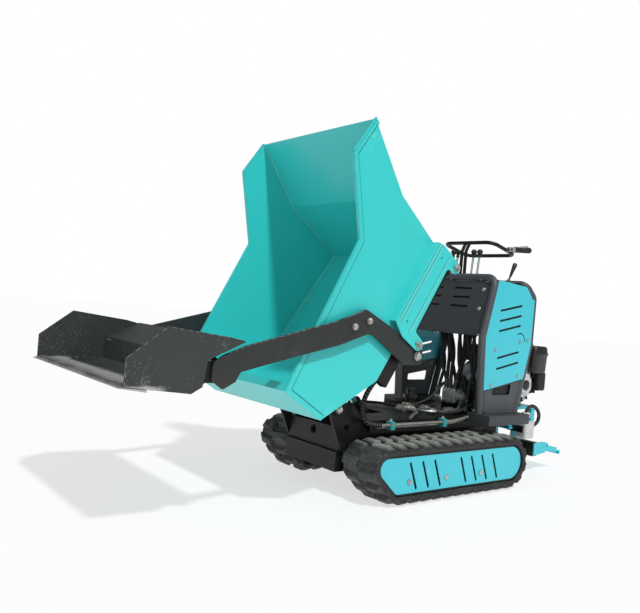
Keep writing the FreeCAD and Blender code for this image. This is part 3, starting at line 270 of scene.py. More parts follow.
def hoseFinish():
    # wrapped hydraulic hose: fabric impression crossing in two directions over the surface's own UV map
    hose = Finish("hoseRubber")
    mapped = hose.add("ShaderNodeTexCoord", output="UV")
    along, around = hose.axis("X", mapped) * 1900.0, hose.axis("Y", mapped) * 50.3
    weave = (along + around).wave() * (along - around).wave()
    colour = hose.mix(hose.noise(60.0, 4.0), tint(20, 20, 21), tint(44, 45, 46))
    return hose.done(Base_Color=colour, Roughness=0.55 + weave * 0.08, Normal=hose.bump(weave, 0.0004, 0.5))


def braidFinish():
    # spiral-wrapped hose: one raised band wound round the hose, over its UV map; its colour follows the
    # band, with painted shade in the grooves and a painted highlight on the crest
    hose = Finish("spiralWrap")
    mapped = hose.add("ShaderNodeTexCoord", output="UV")
    band = (hose.axis("X", mapped) * 520.0 + hose.axis("Y", mapped) * 6.2832).wave()
    colour = hose.mix(hose.ramp(band * 0.5 + 0.5, (0.3, 0.0), (0.7, 1.0)), tint(14, 14, 14),
                      tint(52, 53, 54))
    return hose.done(Base_Color=colour, Roughness=0.45, Normal=hose.bump(band, 0.0016, 0.9))


def bucketPaint():
    # loader bucket: dark coat with pale dust and chips, worn bare where earth slides over its edge
    coat = Finish("bucketPaint")
    reach, height = coat.axis("Y"), coat.axis("Z")
    ragged = coat.noise(24.0, 6.0, 0.7) * 0.1
    low = coat.ramp((0.428 - height + ragged * 0.14) * 55.0, (0.3, 0.0), (0.75, 1.0))
    bare = coat.ramp((reach * -1.0 - 0.99 + ragged) * 12.0, (0.3, 0.0), (0.7, 1.0)) * low
    chips = coat.ramp(coat.noise(150.0, 6.0, 0.8) * coat.noise(12.0, 3.0), (0.34, 0.0), (0.42, 1.0))
    specks = coat.specks(165.0) < coat.ramp(coat.noise(9.0, 3.0), (0.3, 0.0), (0.65, 1.0)) * 0.17
    base = coat.mix(coat.noise(7.0, 5.0), tint(37, 41, 41), tint(56, 60, 60))
    colour = coat.mix(chips * 0.5, base, tint(140, 142, 138))
    colour = coat.mix(specks * 0.6, colour, tint(170, 172, 168))
    colour = coat.mix(bare, colour, tint(182, 182, 178))
    rough = 0.42 + coat.noise(40.0, 5.0) * 0.2 + specks * 0.2
    return coat.done(Base_Color=colour, Roughness=rough, Metallic=bare * 0.5,
                     Normal=coat.bump(coat.noise(90.0, 5.0) + chips * 0.5, 0.0008, 0.4))


turquoise = turquoisePaint("turquoisePaint", paint["skip"])
panelTurquoise = turquoisePaint("panelTurquoise", paint["panels"])
consoleGrey = darkPaint("consoleGrey", tint(66, 69, 74), tint(128, 130, 130), 0.2, 0.4, 2.0)
panelGrey = darkPaint("panelGrey", tint(54, 57, 61), tint(118, 120, 120), 0.2, 0.42, 2.0)
armPaint = darkPaint("armPaint", tint(35, 38, 38), tint(104, 106, 104), 0.3, 0.44)
blackPaint = darkPaint("blackPaint", tint(12, 13, 13), tint(76, 76, 74), 0.25, 0.33, 1.0, 0.34)
# pale turquoise as a painted highlight, on the plate folds' ridges and the inside weld beads
paleHighlightPaint = turquoisePaint("paleHighlightPaint", (tint(120, 224, 218), tint(84, 196, 190)))
clampPaint = turquoisePaint("clampPaint", (tint(48, 150, 152), tint(38, 128, 132)))
# pale grey for painted highlights along the cheeks', arms' and latches' edges, partly rubbed paint on the
# cheeks
edgeHighlightAndWear = darkPaint("edgeHighlightAndWear", tint(112, 115, 114), tint(186, 188, 186), 0.8, 0.4)
crimpSteel = plainMetal("crimpSteel", tint(96, 98, 98), tint(52, 52, 50), 0.32, (1.0, 1.0, 1.0), 0.8)
# dark turquoise as painted shadow lines beside the plate folds and along the rim bars
shadowLinePaint = turquoisePaint("shadowLinePaint", (tint(26, 128, 128), tint(22, 116, 118)))
bucket = bucketPaint()
zincSteel = plainMetal("zincSteel", tint(205, 204, 198), tint(120, 116, 104), 0.26, (1.0, 1.0, 1.0))
chromeRod = plainMetal("chromeRod", tint(226, 228, 232), tint(180, 182, 186), 0.08, (1.0, 1.0, 0.2))
castAlloy = plainMetal("castAlloy", tint(178, 180, 180), tint(118, 118, 114), 0.42, (2.0, 2.0, 2.0), 0.6)
starterSilver = plainMetal("starterSilver", tint(216, 218, 218), tint(150, 150, 148), 0.34, (2.0, 2.0, 2.0),
                           0.3)
trackRubber = rubberFinish("trackRubber", tint(40, 41, 39), tint(152, 154, 148), 0.0012, 50.0)
hoseRubber = hoseFinish()
spiralWrap = braidFinish()
blackPlastic = plasticFinish("blackPlastic", tint(24, 24, 25), tint(60, 60, 60), 0.38)
gripRubber = plasticFinish("gripRubber", tint(22, 22, 22), tint(48, 48, 48), 0.6, 500.0)
whitePlastic = plasticFinish("whitePlastic", tint(196, 200, 198), tint(150, 154, 150), 0.42)

print("finishes made")


def wrapUp(name, mesh, material, body, bevel=0.0, sharp=35.0, segments=2, slot=None):
    # closes the doubles, turns the faces outwards, smooths all but the sharp edges, then rides on a body
    work = bmesh.new()
    work.from_mesh(mesh)
    bmesh.ops.remove_doubles(work, verts=work.verts, dist=1e-6)
    bmesh.ops.recalc_face_normals(work, faces=work.faces)
    work.to_mesh(mesh)
    work.free()
    mesh.polygons.foreach_set("use_smooth", np.ones(len(mesh.polygons), bool))
    mesh.set_sharp_from_angle(angle=math.radians(sharp))
    mesh.materials.append(material)
    piece = bpy.data.objects.new(name, mesh)
    scene.collection.objects.link(piece)
    if bevel:
        rounding = piece.modifiers.new("rounded", "BEVEL")
        rounding.width, rounding.segments = bevel, segments
        rounding.limit_method, rounding.angle_limit = "ANGLE", math.radians(30)
        rounding.harden_normals = True
    if body:
        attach(piece, body)
    return piece


def makePiece(name, points, faces, material, body="chassis", uv=None, **extra):
    mesh = bpy.data.meshes.new(name)
    mesh.from_pydata(np.asarray(points).reshape(-1, 3).tolist(), [], [list(f) for f in faces])
    if uv is not None:
        layer = mesh.uv_layers.new(name="surface")
        layer.data.foreach_set("uv", uv.astype(np.float32).ravel())
    return wrapUp(name, mesh, material, body, **extra)


def gridFaces(rows, columns, wrapRows=False):
    # quads between neighbouring rows and columns; columns always close into a ring
    i = np.arange(rows if wrapRows else rows - 1)[:, None]
    j = np.arange(columns)[None, :]
    nextRow, nextColumn = (i + 1) % rows, (j + 1) % columns
    quads = np.stack([i * columns + j + 0 * j, i * columns + nextColumn, nextRow * columns + nextColumn,
                      nextRow * columns + j], axis=-1)
    return quads.reshape(-1, 4)


def ringPiece(name, grid, material, body="chassis", wrapRows=False, lengths=None, **extra):
    # grid of rings (rows) of points (columns), closed by a cap at each end unless the rows close up
    rows, columns = grid.shape[:2]
    quads = gridFaces(rows, columns, wrapRows)
    faces = quads.tolist()
    uv = None
    if lengths is not None:
        i, j = np.divmod(np.arange(len(quads)), columns)
        ahead = lengths[np.minimum(i + 1, rows - 1)]
        u = np.stack([lengths[i], lengths[i], ahead, ahead], axis=1)
        v = np.stack([j, j + 1, j + 1, j], axis=1) / columns
        uv = np.stack([u, v], axis=-1).reshape(-1, 2)
    if not wrapRows:
        faces += [list(range(columns))[::-1], list(range((rows - 1) * columns, rows * columns))]
        if uv is not None:
            uv = np.vstack([uv, np.zeros((2 * columns, 2))])
    return makePiece(name, grid, faces, material, body, uv=uv, **extra)


def circle(sides=20):
    # unit circle: cosine and sine of equal steps of one turn
    turn = np.linspace(0, 2 * np.pi, sides, endpoint=False)
    return np.stack([np.cos(turn), np.sin(turn)], axis=1)


def squareFrame(direction):
    # two unit vectors at right angles to a direction and to each other
    spare = np.eye(3)[np.argmin(np.abs(direction))]
    side = np.cross(spare, direction)
    side /= np.linalg.norm(side)
    return side, np.cross(direction, side)


def turnedPiece(name, start, end, outline, material, body="chassis", sides=28, **extra):
    # revolved outline: at each (share of the axis, radius) stands a circle round the line from start to end
    start, end = np.array(start, float), np.array(end, float)
    direction = (end - start) / np.linalg.norm(end - start)
    side, over = squareFrame(direction)
    outline = np.array(outline, float)
    ring = circle(sides) @ np.stack([side, over])
    grid = start + outline[:, None, :1] * (end - start) + outline[:, None, 1:] * ring[None]
    return ringPiece(name, grid, material, body, **extra)


def smoothLine(points, resolution=10):
    # points along the quadratic NURBS spline whose control points are given
    data = bpy.data.curves.new("guide", "CURVE")
    data.dimensions, data.resolution_u = "3D", resolution
    spline = data.splines.new("NURBS")
    spline.points.add(len(points) - 1)
    spline.points.foreach_set("co", np.hstack([np.array(points, float), np.ones((len(points), 1))]).ravel())
    spline.order_u, spline.use_endpoint_u = 3, True
    guide = bpy.data.objects.new("guide", data)
    mesh = bpy.data.meshes.new_from_object(guide)
    line = np.array([v.co for v in mesh.vertices])
    bpy.data.objects.remove(guide)
    bpy.data.meshes.remove(mesh)
    return line


def sweptPiece(name, line, profile, material, body="chassis", girth=None, wrap=False, **extra):
    # profile carried along a line: at each point it stands square to the line's tangent
    tangent = np.roll(line, -1, 0) - np.roll(line, 1, 0) if wrap else np.gradient(line, axis=0)
    tangent /= np.linalg.norm(tangent, axis=1, keepdims=True)
    spare = np.eye(3)[np.argmin(np.abs(tangent).max(axis=0))]
    side = np.cross(spare, tangent)
    side /= np.linalg.norm(side, axis=1, keepdims=True)
    over = np.cross(tangent, side)
    scale = np.ones(len(line)) if girth is None else girth
    flat = profile[None] * scale[:, None, None]
    grid = line[:, None] + flat[..., :1] * side[:, None] + flat[..., 1:] * over[:, None]
    lengths = np.concatenate([[0], np.cumsum(np.linalg.norm(np.diff(line, axis=0), axis=1))])
    return ringPiece(name, grid, material, body, wrapRows=wrap, lengths=None if wrap else lengths, **extra)


def slabPiece(name, outline, low, high, material, body="chassis", across=axisX, bevel=0.001, **extra):
    # flat outline run straight across it, along the axis that its points leave out, from low to high
    outline = np.array(outline, float)
    grid = np.stack([np.insert(outline, across, level, axis=1) for level in (low, high)])
    return ringPiece(name, grid, material, body, bevel=bevel, **extra)


def boxOutline(low, high):
    # the four corners of a rectangle between its low and its high corner
    return [(low[0], low[1]), (high[0], low[1]), (high[0], high[1]), (low[0], high[1])]


def softened(node, material, width):
    # copy of a CAD node, its triangles joined and its sharp edges rounded by a small bevel
    mesh = nodes[node].data.copy()
    mesh.materials.clear()
    work = bmesh.new()
    work.from_mesh(mesh)
    bmesh.ops.remove_doubles(work, verts=work.verts, dist=1e-5)
    bmesh.ops.dissolve_limit(work, angle_limit=math.radians(0.6), verts=work.verts, edges=work.edges,
                             delimit={"NORMAL"})
    work.to_mesh(mesh)
    work.free()
    piece = wrapUp(node + "Skin", mesh, material, holder[node], width, slot=slotOf[node])
    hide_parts(node)


# CAD nodes whose shape is kept: finish and bevel width in metres
skins = {"skip_floor": (turquoise, 0.0008), "skip_rear_wall": (turquoise, 0.0008),
         "skip_side_left": (turquoise, 0.0008), "skip_side_right": (turquoise, 0.0008),
         "skip_rims": (turquoise, 0.0009), "skip_mount_plates": (turquoise, 0.001),
         "track_covers": (panelTurquoise, 0.0008), "console_sides": (panelTurquoise, 0.0007),
         "engine_base": (panelTurquoise, 0.001), "step_brackets": (panelTurquoise, 0.0015),
         "step_plate": (panelTurquoise, 0.001), "console_tubes": (consoleGrey, 0.0),
         "console_front_panel": (panelGrey, 0.0007), "console_feet": (consoleGrey, 0.0008),
         "console_top": (consoleGrey, 0.0007), "side_trays": (panelGrey, 0.002),
         "rear_arm_plates": (armPaint, 0.0014), "front_arm_plates": (armPaint, 0.0014),
         "bucket_shell": (bucket, 0.0012), "bucket_brackets": (blackPaint, 0.001),
         "cutting_edge": (bucket, 0.0008), "chassis_frame": (blackPaint, 0.0015),
         "deck_plate": (blackPaint, 0.0015), "pivot_brackets": (blackPaint, 0.0015),
         "track_frames": (blackPaint, 0.0012), "tilt_frame": (blackPaint, 0.0012),
         "travel_motors": (blackPaint, 0.0), "tip_barrel": (blackPaint, 0.0),
         "lift_barrel": (blackPaint, 0.0), "handle_loop": (blackPaint, 0.0), "muffler": (blackPaint, 0.0),
         "fuel_tank": (blackPaint, 0.0), "arm_cross_shaft": (armPaint, 0.0008),
         "valve_block": (castAlloy, 0.0012), "front_idler_left": (blackPaint, 0.0),
         "front_idler_right": (blackPaint, 0.0), "drive_sprocket_left": (blackPaint, 0.001),
         "drive_sprocket_right": (blackPaint, 0.001), "track_rollers": (blackPaint, 0.0),
         "skip_pins": (zincSteel, 0.0006), "elbow_bolts": (zincSteel, 0.0012),
         "cover_bolts": (zincSteel, 0.0012), "skip_pivot_shaft": (blackPaint, 0.001),
         "tip_rod": (chromeRod, 0.0), "lift_rod": (chromeRod, 0.0), "engine_block": (castAlloy, 0.0012)}
for node, (material, width) in skins.items():
    softened(node, material, width)
print("CAD skins made")


def beltLine(offset, steps=60):
    # anticlockwise outline round the three wheels grown by an offset: arcs whose ends tangent lines join
    wheels = np.array(belt["wheels"]) + [0, 0, offset]
    ahead = np.roll(wheels, -1, 0)
    span = ahead - wheels
    heading = np.arctan2(span[:, 1], span[:, 0])
    normal = heading - np.arccos((wheels[:, 2] - ahead[:, 2]) / np.hypot(span[:, 0], span[:, 1]))
    first = np.roll(normal, 1)
    sweep = (normal - first) % (2 * np.pi)
    turn = first[:, None] + sweep[:, None] * np.linspace(0, 1, steps)
    spots = wheels[:, None, :2] + wheels[:, None, 2:] * np.stack([np.cos(turn), np.sin(turn)], -1)
    return spots.reshape(-1, 2), np.stack([np.cos(turn), np.sin(turn)], -1).reshape(-1, 2)


def beltPoint(distance, height):
    # point at a distance along the belt's root line, moved outwards by a height
    root, outward = beltLine(belt["thick"])
    loop, facing = np.vstack([root, root[:1]]), np.vstack([outward, outward[:1]])
    along = np.concatenate([[0], np.cumsum(np.linalg.norm(np.diff(loop, axis=0), axis=1))])
    distance = distance % along[-1]
    spot = np.stack([np.interp(distance, along, loop[:, k]) for k in (0, 1)], -1)
    out = np.stack([np.interp(distance, along, facing[:, k]) for k in (0, 1)], -1)
    out /= np.linalg.norm(out, axis=-1, keepdims=True)
    return spot + out * np.asarray(height)[..., None]


def beltLength():
    # sum of the steps round the belt's root line
    root = beltLine(belt["thick"])[0]
    return np.linalg.norm(np.roll(root, -1, 0) - root, axis=1).sum()


def trackBelt(sideName, sign):
    # belt ring of rounded section, and two rows of tapered lugs half a pitch apart
    total = beltLength()
    count = round(total / belt["pitch"])
    pitch = total / count
    middle = belt["outer"] - belt["wide"] / 2
    half = belt["wide"] / 2
    section = np.array([(-half, -0.012), (0.002 - half, -0.0155), (half - 0.002, -0.0155), (half, -0.012),
                        (half, -0.004), (half - 0.005, 0.0), (0.005 - half, 0.0), (-half, -0.004)])
    along = np.linspace(0, total, count * 8, endpoint=False)
    shape = (len(along), len(section))
    spots = beltPoint(np.repeat(along[:, None], shape[1], 1), np.broadcast_to(section[:, 1], shape))
    across = np.broadcast_to(section[:, 0], shape)
    grid = np.concatenate([(sign * (middle + across))[..., None], spots], -1)
    ring = ringPiece("trackBand" + sideName, grid, trackRubber, wrapRows=True, bevel=0.001)
    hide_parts("track_belt_" + sideName.lower())

    lugs, faces = [], []
    crown = belt["crown"]
    for row, (inner, outer, phase) in enumerate([(0.0905, 0.006, 0.0), (-0.0905, -0.006, 0.5)]):
        # corners of one lug as (share of pitch, height, across): foot, shoulder by the belt's edge, crown
        lug = np.array([(-0.40, -0.002, inner), (0.34, -0.002, inner), (0.46, -0.002, outer),
                        (-0.30, -0.002, outer), (-0.30, 0.006, inner * 0.99), (0.22, 0.006, inner * 0.99),
                        (0.30, crown, outer * 1.6), (-0.12, crown, outer * 1.6),
                        (-0.20, crown, inner * 0.72), (0.12, crown, inner * 0.72)])
        starts = (np.arange(count) + phase) * pitch
        distance = starts[:, None] + lug[None, :, 0] * pitch
        spots = beltPoint(distance, np.broadcast_to(lug[:, 1], distance.shape))
        side = np.broadcast_to(sign * (middle + lug[:, 2]), distance.shape)
        lugs.append(np.concatenate([side[..., None], spots], -1).reshape(-1, 3))
        corners = [(0, 1, 2, 3), (4, 5, 9, 8), (8, 9, 6, 7), (0, 1, 5, 4), (1, 2, 6, 9, 5), (2, 3, 7, 6),
                   (3, 0, 4, 8, 7)]
        first = len(lug) * (np.arange(count) + row * count)
        faces += [[start + c for c in corner] for start in first.tolist() for corner in corners]
    makePiece("trackLugs" + sideName, np.vstack(lugs), faces, trackRubber, bevel=0.003)


def coverEdge(sideName, sign):
    # dark strip round the cover's rim, where the gap to the belt lies in shade
    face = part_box("track_covers")[1].x
    rims = [(face - 0.001, belt["rim"][0]), (face + 0.0005, belt["rim"][0]),
            (face + 0.0005, belt["rim"][1]), (face - 0.001, belt["rim"][1])]
    columns = [np.insert(beltLine(-inset)[0], 0, sign * x, axis=1) for x, inset in rims]
    ringPiece("coverEdge" + sideName, np.stack(columns, axis=1), blackPaint, wrapRows=True)


for sideName, sign in (("Left", 1), ("Right", -1)):
    trackBelt(sideName, sign)
    coverEdge(sideName, sign)
print("tracks made")


lever = {"rows": [-0.070, -0.044, 0.044, 0.076], "y": 0.560, "z": 0.800, "tall": 0.145, "lean": 0.014,
         "rod": 0.0045, "knob": 0.0125}


def controlLever(number, x):
    # chrome rod with a shouldered foot, and a pear-shaped black knob
    body = f"lever_{number}"
    foot = (x, lever["y"], lever["z"])
    top = (x, lever["y"] + lever["lean"], lever["z"] + lever["tall"])
    rod = turnedPiece(f"leverRod{number}", foot, top,
                      [(-0.05, 0.003), (-0.05, 0.0078), (0.05, 0.0078), (0.07, 0.006), (0.11, lever["rod"]),
                       (1.0, lever["rod"])], chromeRod, body)
    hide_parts(f"control_lever_{number}")
    turn = np.linspace(-1.2, 1.5, 16)
    bulb = [(0.94 + 0.085 * (1 + math.sin(t)), lever["knob"] * math.cos(t)) for t in turn]
    turnedPiece(f"leverKnob{number}", foot, top, [(0.86, 0.0066), (0.92, 0.0074)] + bulb, blackPlastic,
                body)


for number, x in enumerate(lever["rows"], start=1):
    controlLever(number, x)


grip = {"pivot": (0.158, 0.672, 0.970), "start": (0.158, 0.700, 0.972), "end": (0.158, 0.812, 0.980),
        "radius": 0.0128, "ribs": 14, "ribDepth": 0.0011, "half": 0.008, "hub": (0.1434, 0.166)}


def gripLever():
    # rubber grip with square ribs and a tapered end, on a flat alloy lever with a round hub
    share = np.linspace(0, 1, 61)
    raised = (np.sin(share * 2 * np.pi * grip["ribs"]) > 0) * (share > 0.08) * (share < 0.92)
    taper = np.where(share > 0.94, 1.0 - (share - 0.94) * 6, 1.0)
    ribs = (grip["radius"] - grip["ribDepth"] * raised) * taper
    outline = np.stack([share, ribs], 1)
    handle = turnedPiece("gripHandle", grip["start"], grip["end"], outline, gripRubber, "grip", sharp=50)
    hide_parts("grip_lever")
    x, y, z = grip["pivot"]
    plate = [(y - 0.008, z - 0.006), (y + 0.004, z - 0.009), (0.716, 0.964), (0.790, 0.992),
             (0.786, 0.9975), (0.712, 0.985), (y + 0.004, z + 0.009), (y - 0.008, z + 0.006)]
    slabPiece("gripArm", plate, x - grip["half"], x + grip["half"], castAlloy, "grip", bevel=0.003)
    start, end = [(level, y, z) for level in grip["hub"]]
    turnedPiece("gripHub", start, end, [(0, 0.007), (0, 0.0095), (0.8, 0.0095), (0.85, 0.006), (1, 0.006)],
                zincSteel, "grip")


stick = {"foot": (0.190, 0.636, 0.836), "top": (0.190, 0.6725, 0.909),
         "boss": ((0.184, 0.634, 0.834), (0.196, 0.634, 0.834))}


def throttle():
    # black stick that swells towards its tip, on a small steel boss
    outline = [(0.0, 0.0035), (0.22, 0.0040), (0.24, 0.0052), (0.5, 0.0068), (0.85, 0.0094), (0.95, 0.0096),
               (0.985, 0.008), (1.0, 0.004)]
    piece = turnedPiece("throttleStick", stick["foot"], stick["top"], outline, blackPlastic, "throttle")
    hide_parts("throttle_lever")
    turnedPiece("throttleBoss", *stick["boss"], [(0, 0.004), (0, 0.006), (1, 0.006), (1, 0.004)], zincSteel,
                "throttle")


gripLever()
throttle()
print("controls made")


hoses = {"radius": 0.008, "tops": lever["rows"],
         "ends": [(0.022, 0.490), (0.046, 0.487), (0.058, 0.511), (0.070, 0.488)]}


def hosePiece(name, points, radius):
    # hose on one smooth line, with a crimped steel ferrule and hexagon nut at each end
    line = smoothLine(points)
    wide = radius * 1.28
    crimp = [(0, radius), (0.02, wide), (0.45, wide), (0.5, wide * 0.93), (0.6, wide), (0.7, wide * 0.93),
             (0.8, wide), (0.96, wide * 0.96), (1, radius * 1.02)]
    hexagon = [(0, radius), (0, wide * 1.08), (1, wide * 1.08), (1, radius)]
    piece = sweptPiece(name, line, circle(16) * radius, hoseRubber, sharp=60)
    for side, spot, inward in (("A", line[0], line[3]), ("B", line[-1], line[-4])):
        way = (inward - spot) / np.linalg.norm(inward - spot)
        turnedPiece(name + "Ferrule" + side, spot - way * 0.004, spot + way * 0.036, crimp, crimpSteel,
                    sides=18, sharp=25)
        turnedPiece(name + "Nut" + side, spot - way * 0.013, spot - way * 0.0035, hexagon, zincSteel,
                    sides=6, bevel=0.0008)
    return piece


def consoleHoses():
    # one hose below each control lever, leaning over to its port on the pump block
    for number, (x, (endX, endY)) in enumerate(zip(hoses["tops"], hoses["ends"]), start=1):
        points = [(x, 0.560, 0.672), (x, 0.560, 0.610), (x * 0.55 + endX * 0.45, 0.556, 0.520),
                  (x * 0.1 + endX * 0.9, endY + 0.012, 0.430), (endX, endY, 0.364)]
        hosePiece(f"consoleHose{number}", points, hoses["radius"])
    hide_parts("console_hoses")


# run: from the tilt frame's gusset down to the deck; end: its last points over the deck's outer pipe
wrapHose = {"radius": 0.009, "run": [(0.301, -0.085, 0.500), (0.262, -0.078, 0.490), (0.225, -0.086, 0.450),
                                     (0.206, -0.118, 0.395), (0.200, -0.139, 0.350), (0.200, -0.141, 0.310),
                                     (0.203, -0.128, 0.274)], "end": [(-0.098, 0.259), (-0.056, 0.256)]}

# pipes as (distance out from the deck, height), bends as (y, rise above that height)
pipes = {"radius": 0.006, "places": [(0.009, 0.246), (0.023, 0.256)], "clamps": (-0.010, 0.270),
         "clampWide": 0.022,
         "bends": [(-0.062, 0.0), (0.12, 0.0), (0.30, 0.0), (0.36, 0.003), (0.42, 0.014)],
         "clampLow": (0.0004, 0.236), "clampHigh": (0.032, 0.268)}


def skipHose():
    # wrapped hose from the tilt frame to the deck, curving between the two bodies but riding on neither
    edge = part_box("deck_plate")[1].x + pipes["places"][1][0]
    points = wrapHose["run"] + [(edge, y, z) for y, z in wrapHose["end"]]
    hose = sweptPiece("skipHose", smoothLine(points), circle(18) * wrapHose["radius"], spiralWrap, None,
                      sharp=60)
    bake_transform(hose)


def deckPipes():
    # two bare steel pipes along the deck's edge in turquoise clamps, each with a bolt on top
    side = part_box("deck_plate")[1].x
    for number, (out, level) in enumerate(pipes["places"], start=1):
        line = smoothLine([(side + out, y, level + rise) for y, rise in pipes["bends"]])
        pipe = sweptPiece(f"deckPipe{number}", line, circle(14) * pipes["radius"], zincSteel)
        if number == 1:
            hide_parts("hydraulic_pipes")
    (lowX, lowZ), (highX, highZ) = pipes["clampLow"], pipes["clampHigh"]
    outline = boxOutline((side + lowX, lowZ), (side + highX, highZ))
    for number, y in enumerate(pipes["clamps"], start=1):
        slabPiece(f"pipeClamp{number}", outline, y, y + pipes["clampWide"], clampPaint,
                  across=axisY, bevel=0.003)
        x, middle = side + highX / 2, y + pipes["clampWide"] / 2
        turnedPiece(f"clampBolt{number}", (x, middle, highZ - 0.001), (x, middle, highZ + 0.009),
                    [(0, 0.006), (0.6, 0.006), (1, 0.0045)], zincSteel, sides=6)


consoleHoses()
skipHose()
deckPipes()
print("hoses and pipes made")


def boxPiece(name, low, high, material, bevel=0.003):
    # upright block with rounded edges
    return slabPiece(name, boxOutline(low, high), low[2], high[2], material, "chassis", axisZ, bevel,
                     segments=3)


def boltPiece(name, place, outward, radius, body="chassis"):
    # washer and hexagon head, standing on a place and facing outwards
    place, outward = np.array(place, float), np.array(outward, float) / np.linalg.norm(outward)
    turnedPiece(name + "Washer", place, place + outward * 0.0015, [(0, radius * 1.25), (1, radius * 1.25)],
                zincSteel, body, sides=22)
    turnedPiece(name + "Head", place + outward * 0.001, place + outward * (0.001 + radius * 0.75),
                [(0, radius), (0.8, radius), (1, radius * 0.82)], zincSteel, body, sides=6)


# base and top: (y, z) of the front panel's ends; shares run up that line, outlines are (y, z)
console = {"base": (0.438, 0.593), "top": (0.498, 0.835), "thick": 0.003, "edge": 0.196, "boltX": 0.186,
           "bolts": (0.79, 0.46), "studs": (-0.16, 0.0, 0.16), "studShare": 0.955, "shadeSheet": (0.08, 0.9),
           "inside": [(0.496, 0.410), (0.686, 0.446), (0.724, 0.560), (0.724, 0.752), (0.688, 0.796),
                      (0.526, 0.806), (0.478, 0.600), (0.484, 0.500)],
           "foot": [(0.505, 0.345), (0.648, 0.345), (0.655, 0.420), (0.510, 0.396)], "shadeSheetThick": 0.0018,
           "insideX": 0.2405, "footX": 0.2300, "stripX": (0.2431, 0.2457), "flangeX": (0.237, 0.252),
           "flange": ((0.4745, 0.2868), (0.6650, 0.2925)),
           "strips": {"Front": [(0.484, 0.385), (0.459, 0.380), (0.452, 0.500), (0.447, 0.598),
                                (0.502, 0.818), (0.505, 0.8255), (0.523, 0.8255), (0.465, 0.598),
                                (0.473, 0.500)],
                      "Rear": [(0.688, 0.4215), (0.711, 0.426), (0.747, 0.566), (0.751, 0.762),
                               (0.735, 0.762), (0.734, 0.560)]}}


def consoleDetails():
    # front panel: a black sheet close behind its slots as painted shade, its turned lip, dome bolts and
    # small studs
    base, top = np.array(console["base"]), np.array(console["top"])
    rise = top - base
    outward = np.array([-rise[1], rise[0]]) / np.linalg.norm(rise)
    edge = console["edge"]
    low, high = console["shadeSheet"]
    behind = [base + rise * share - outward * gap
              for share, gap in ((low, 0.003), (high, 0.003), (high, 0.006), (low, 0.006))]
    slabPiece("frontShadeSheet", behind, -edge, edge, blackPaint, bevel=0.0005)
    lip = [base + rise * share + outward * proud
           for share, proud in ((0.034, 0.0025), (0.034, -0.018), (0.022, -0.018), (0.022, 0.0025))]
    slabPiece("frontLip", lip, -edge - 0.008, edge + 0.008, consoleGrey)
    places = [(sign * console["boltX"], share) for sign in (-1, 1) for share in console["bolts"]]
    for number, (x, share) in enumerate(places):
        y, z = base + rise * share + outward * console["thick"]
        turnedPiece(f"panelBolt{number}", (x, y, z), (x, y + outward[0] * 0.006, z + outward[1] * 0.006),
                    [(0, 0.0085), (0.3, 0.0085), (0.7, 0.0062), (0.92, 0.003), (1, 0.001)], zincSteel)
    for number, x in enumerate(console["studs"]):
        y, z = base + rise * console["studShare"] + outward * console["thick"]
        turnedPiece(f"panelStud{number}", (x, y, z), (x, y + outward[0] * 0.004, z + outward[1] * 0.004),
                    [(0, 0.0045), (0.6, 0.004), (1, 0.002)], zincSteel, sides=14)
    # sides: strips that carry the sheet on to both tubes, flanges at the feet, and on the left only black
    # sheets inside as painted shade
    for name, sign in (("sideLinerLeft", 1), ("sideLinerRight", -1)):
        low, high = sorted(sign * x for x in console["stripX"])
        for place, outline in console["strips"].items():
            slabPiece(name + place, outline, low, high, panelTurquoise, bevel=0.0004)
        if sign > 0:
            for shadeSheet, kind in ((name, "inside"), (name + "Foot", "foot")):
                low = console[kind + "X"]
                slabPiece(shadeSheet, console[kind], low, low + console["shadeSheetThick"], blackPaint, bevel=0.0004)
        low, high = sorted(sign * x for x in console["flangeX"])
        slabPiece(name + "Flange", boxOutline(*console["flange"]), low, high, consoleGrey,
                  bevel=0.0012)


# tops as (x, y) under the valve block, feet as (x, y, z) by the deck
bundle = {"radius": 0.0072, "tops": [(-0.090, 0.545), (-0.060, 0.552), (-0.034, 0.548), (0.014, 0.552),
                                     (0.036, 0.546), (0.062, 0.554), (0.092, 0.548), (0.104, 0.566)],
          "feet": [(-0.030, 0.500, 0.330), (0.000, 0.520, 0.300), (0.012, 0.560, 0.300),
                   (0.030, 0.545, 0.330), (0.100, 0.520, 0.300), (0.118, 0.560, 0.290),
                   (0.128, 0.500, 0.290), (0.140, 0.540, 0.290)]}


def hoseBundle():
    # the other service hoses, from the valve block down to the deck, each with a bow of its own
    for number, ((x, y), foot) in enumerate(zip(bundle["tops"], bundle["feet"]), start=1):
        bow = 0.020 * math.sin(number * 2.1)
        points = [(x, y, 0.7005), (x, y, 0.640), (x * 0.75 + foot[0] * 0.25 + bow, y - 0.012, 0.560),
                  (x * 0.35 + foot[0] * 0.65 + bow, (y + foot[1]) / 2 + bow, 0.450),
                  (foot[0], foot[1] + 0.006, 0.380), foot]
        hosePiece(f"serviceHose{number}", points, bundle["radius"])


# pump, tank and boxes as low and high corners; deck: height of its top
hydraulics = {"pump": ((0.010, 0.478, 0.3000), (0.078, 0.536, 0.362)),
              "foot": ((0.010, 0.478), (0.078, 0.570), 0.3005),
              "tank": ((-0.020, 0.590, 0.2703), (0.080, 0.668, 0.350)), "deck": 0.2703,
              "bolts": (0.18, 0.82), "boltLevels": (0.2, 0.8),
              "box": ((-0.150, 0.300), (-0.080, 0.420), 0.022),
              "tee": ((0.020, 0.205), (0.062, 0.262), 0.026), "lineRadius": 0.0055, "hoseRadius": 0.0062}


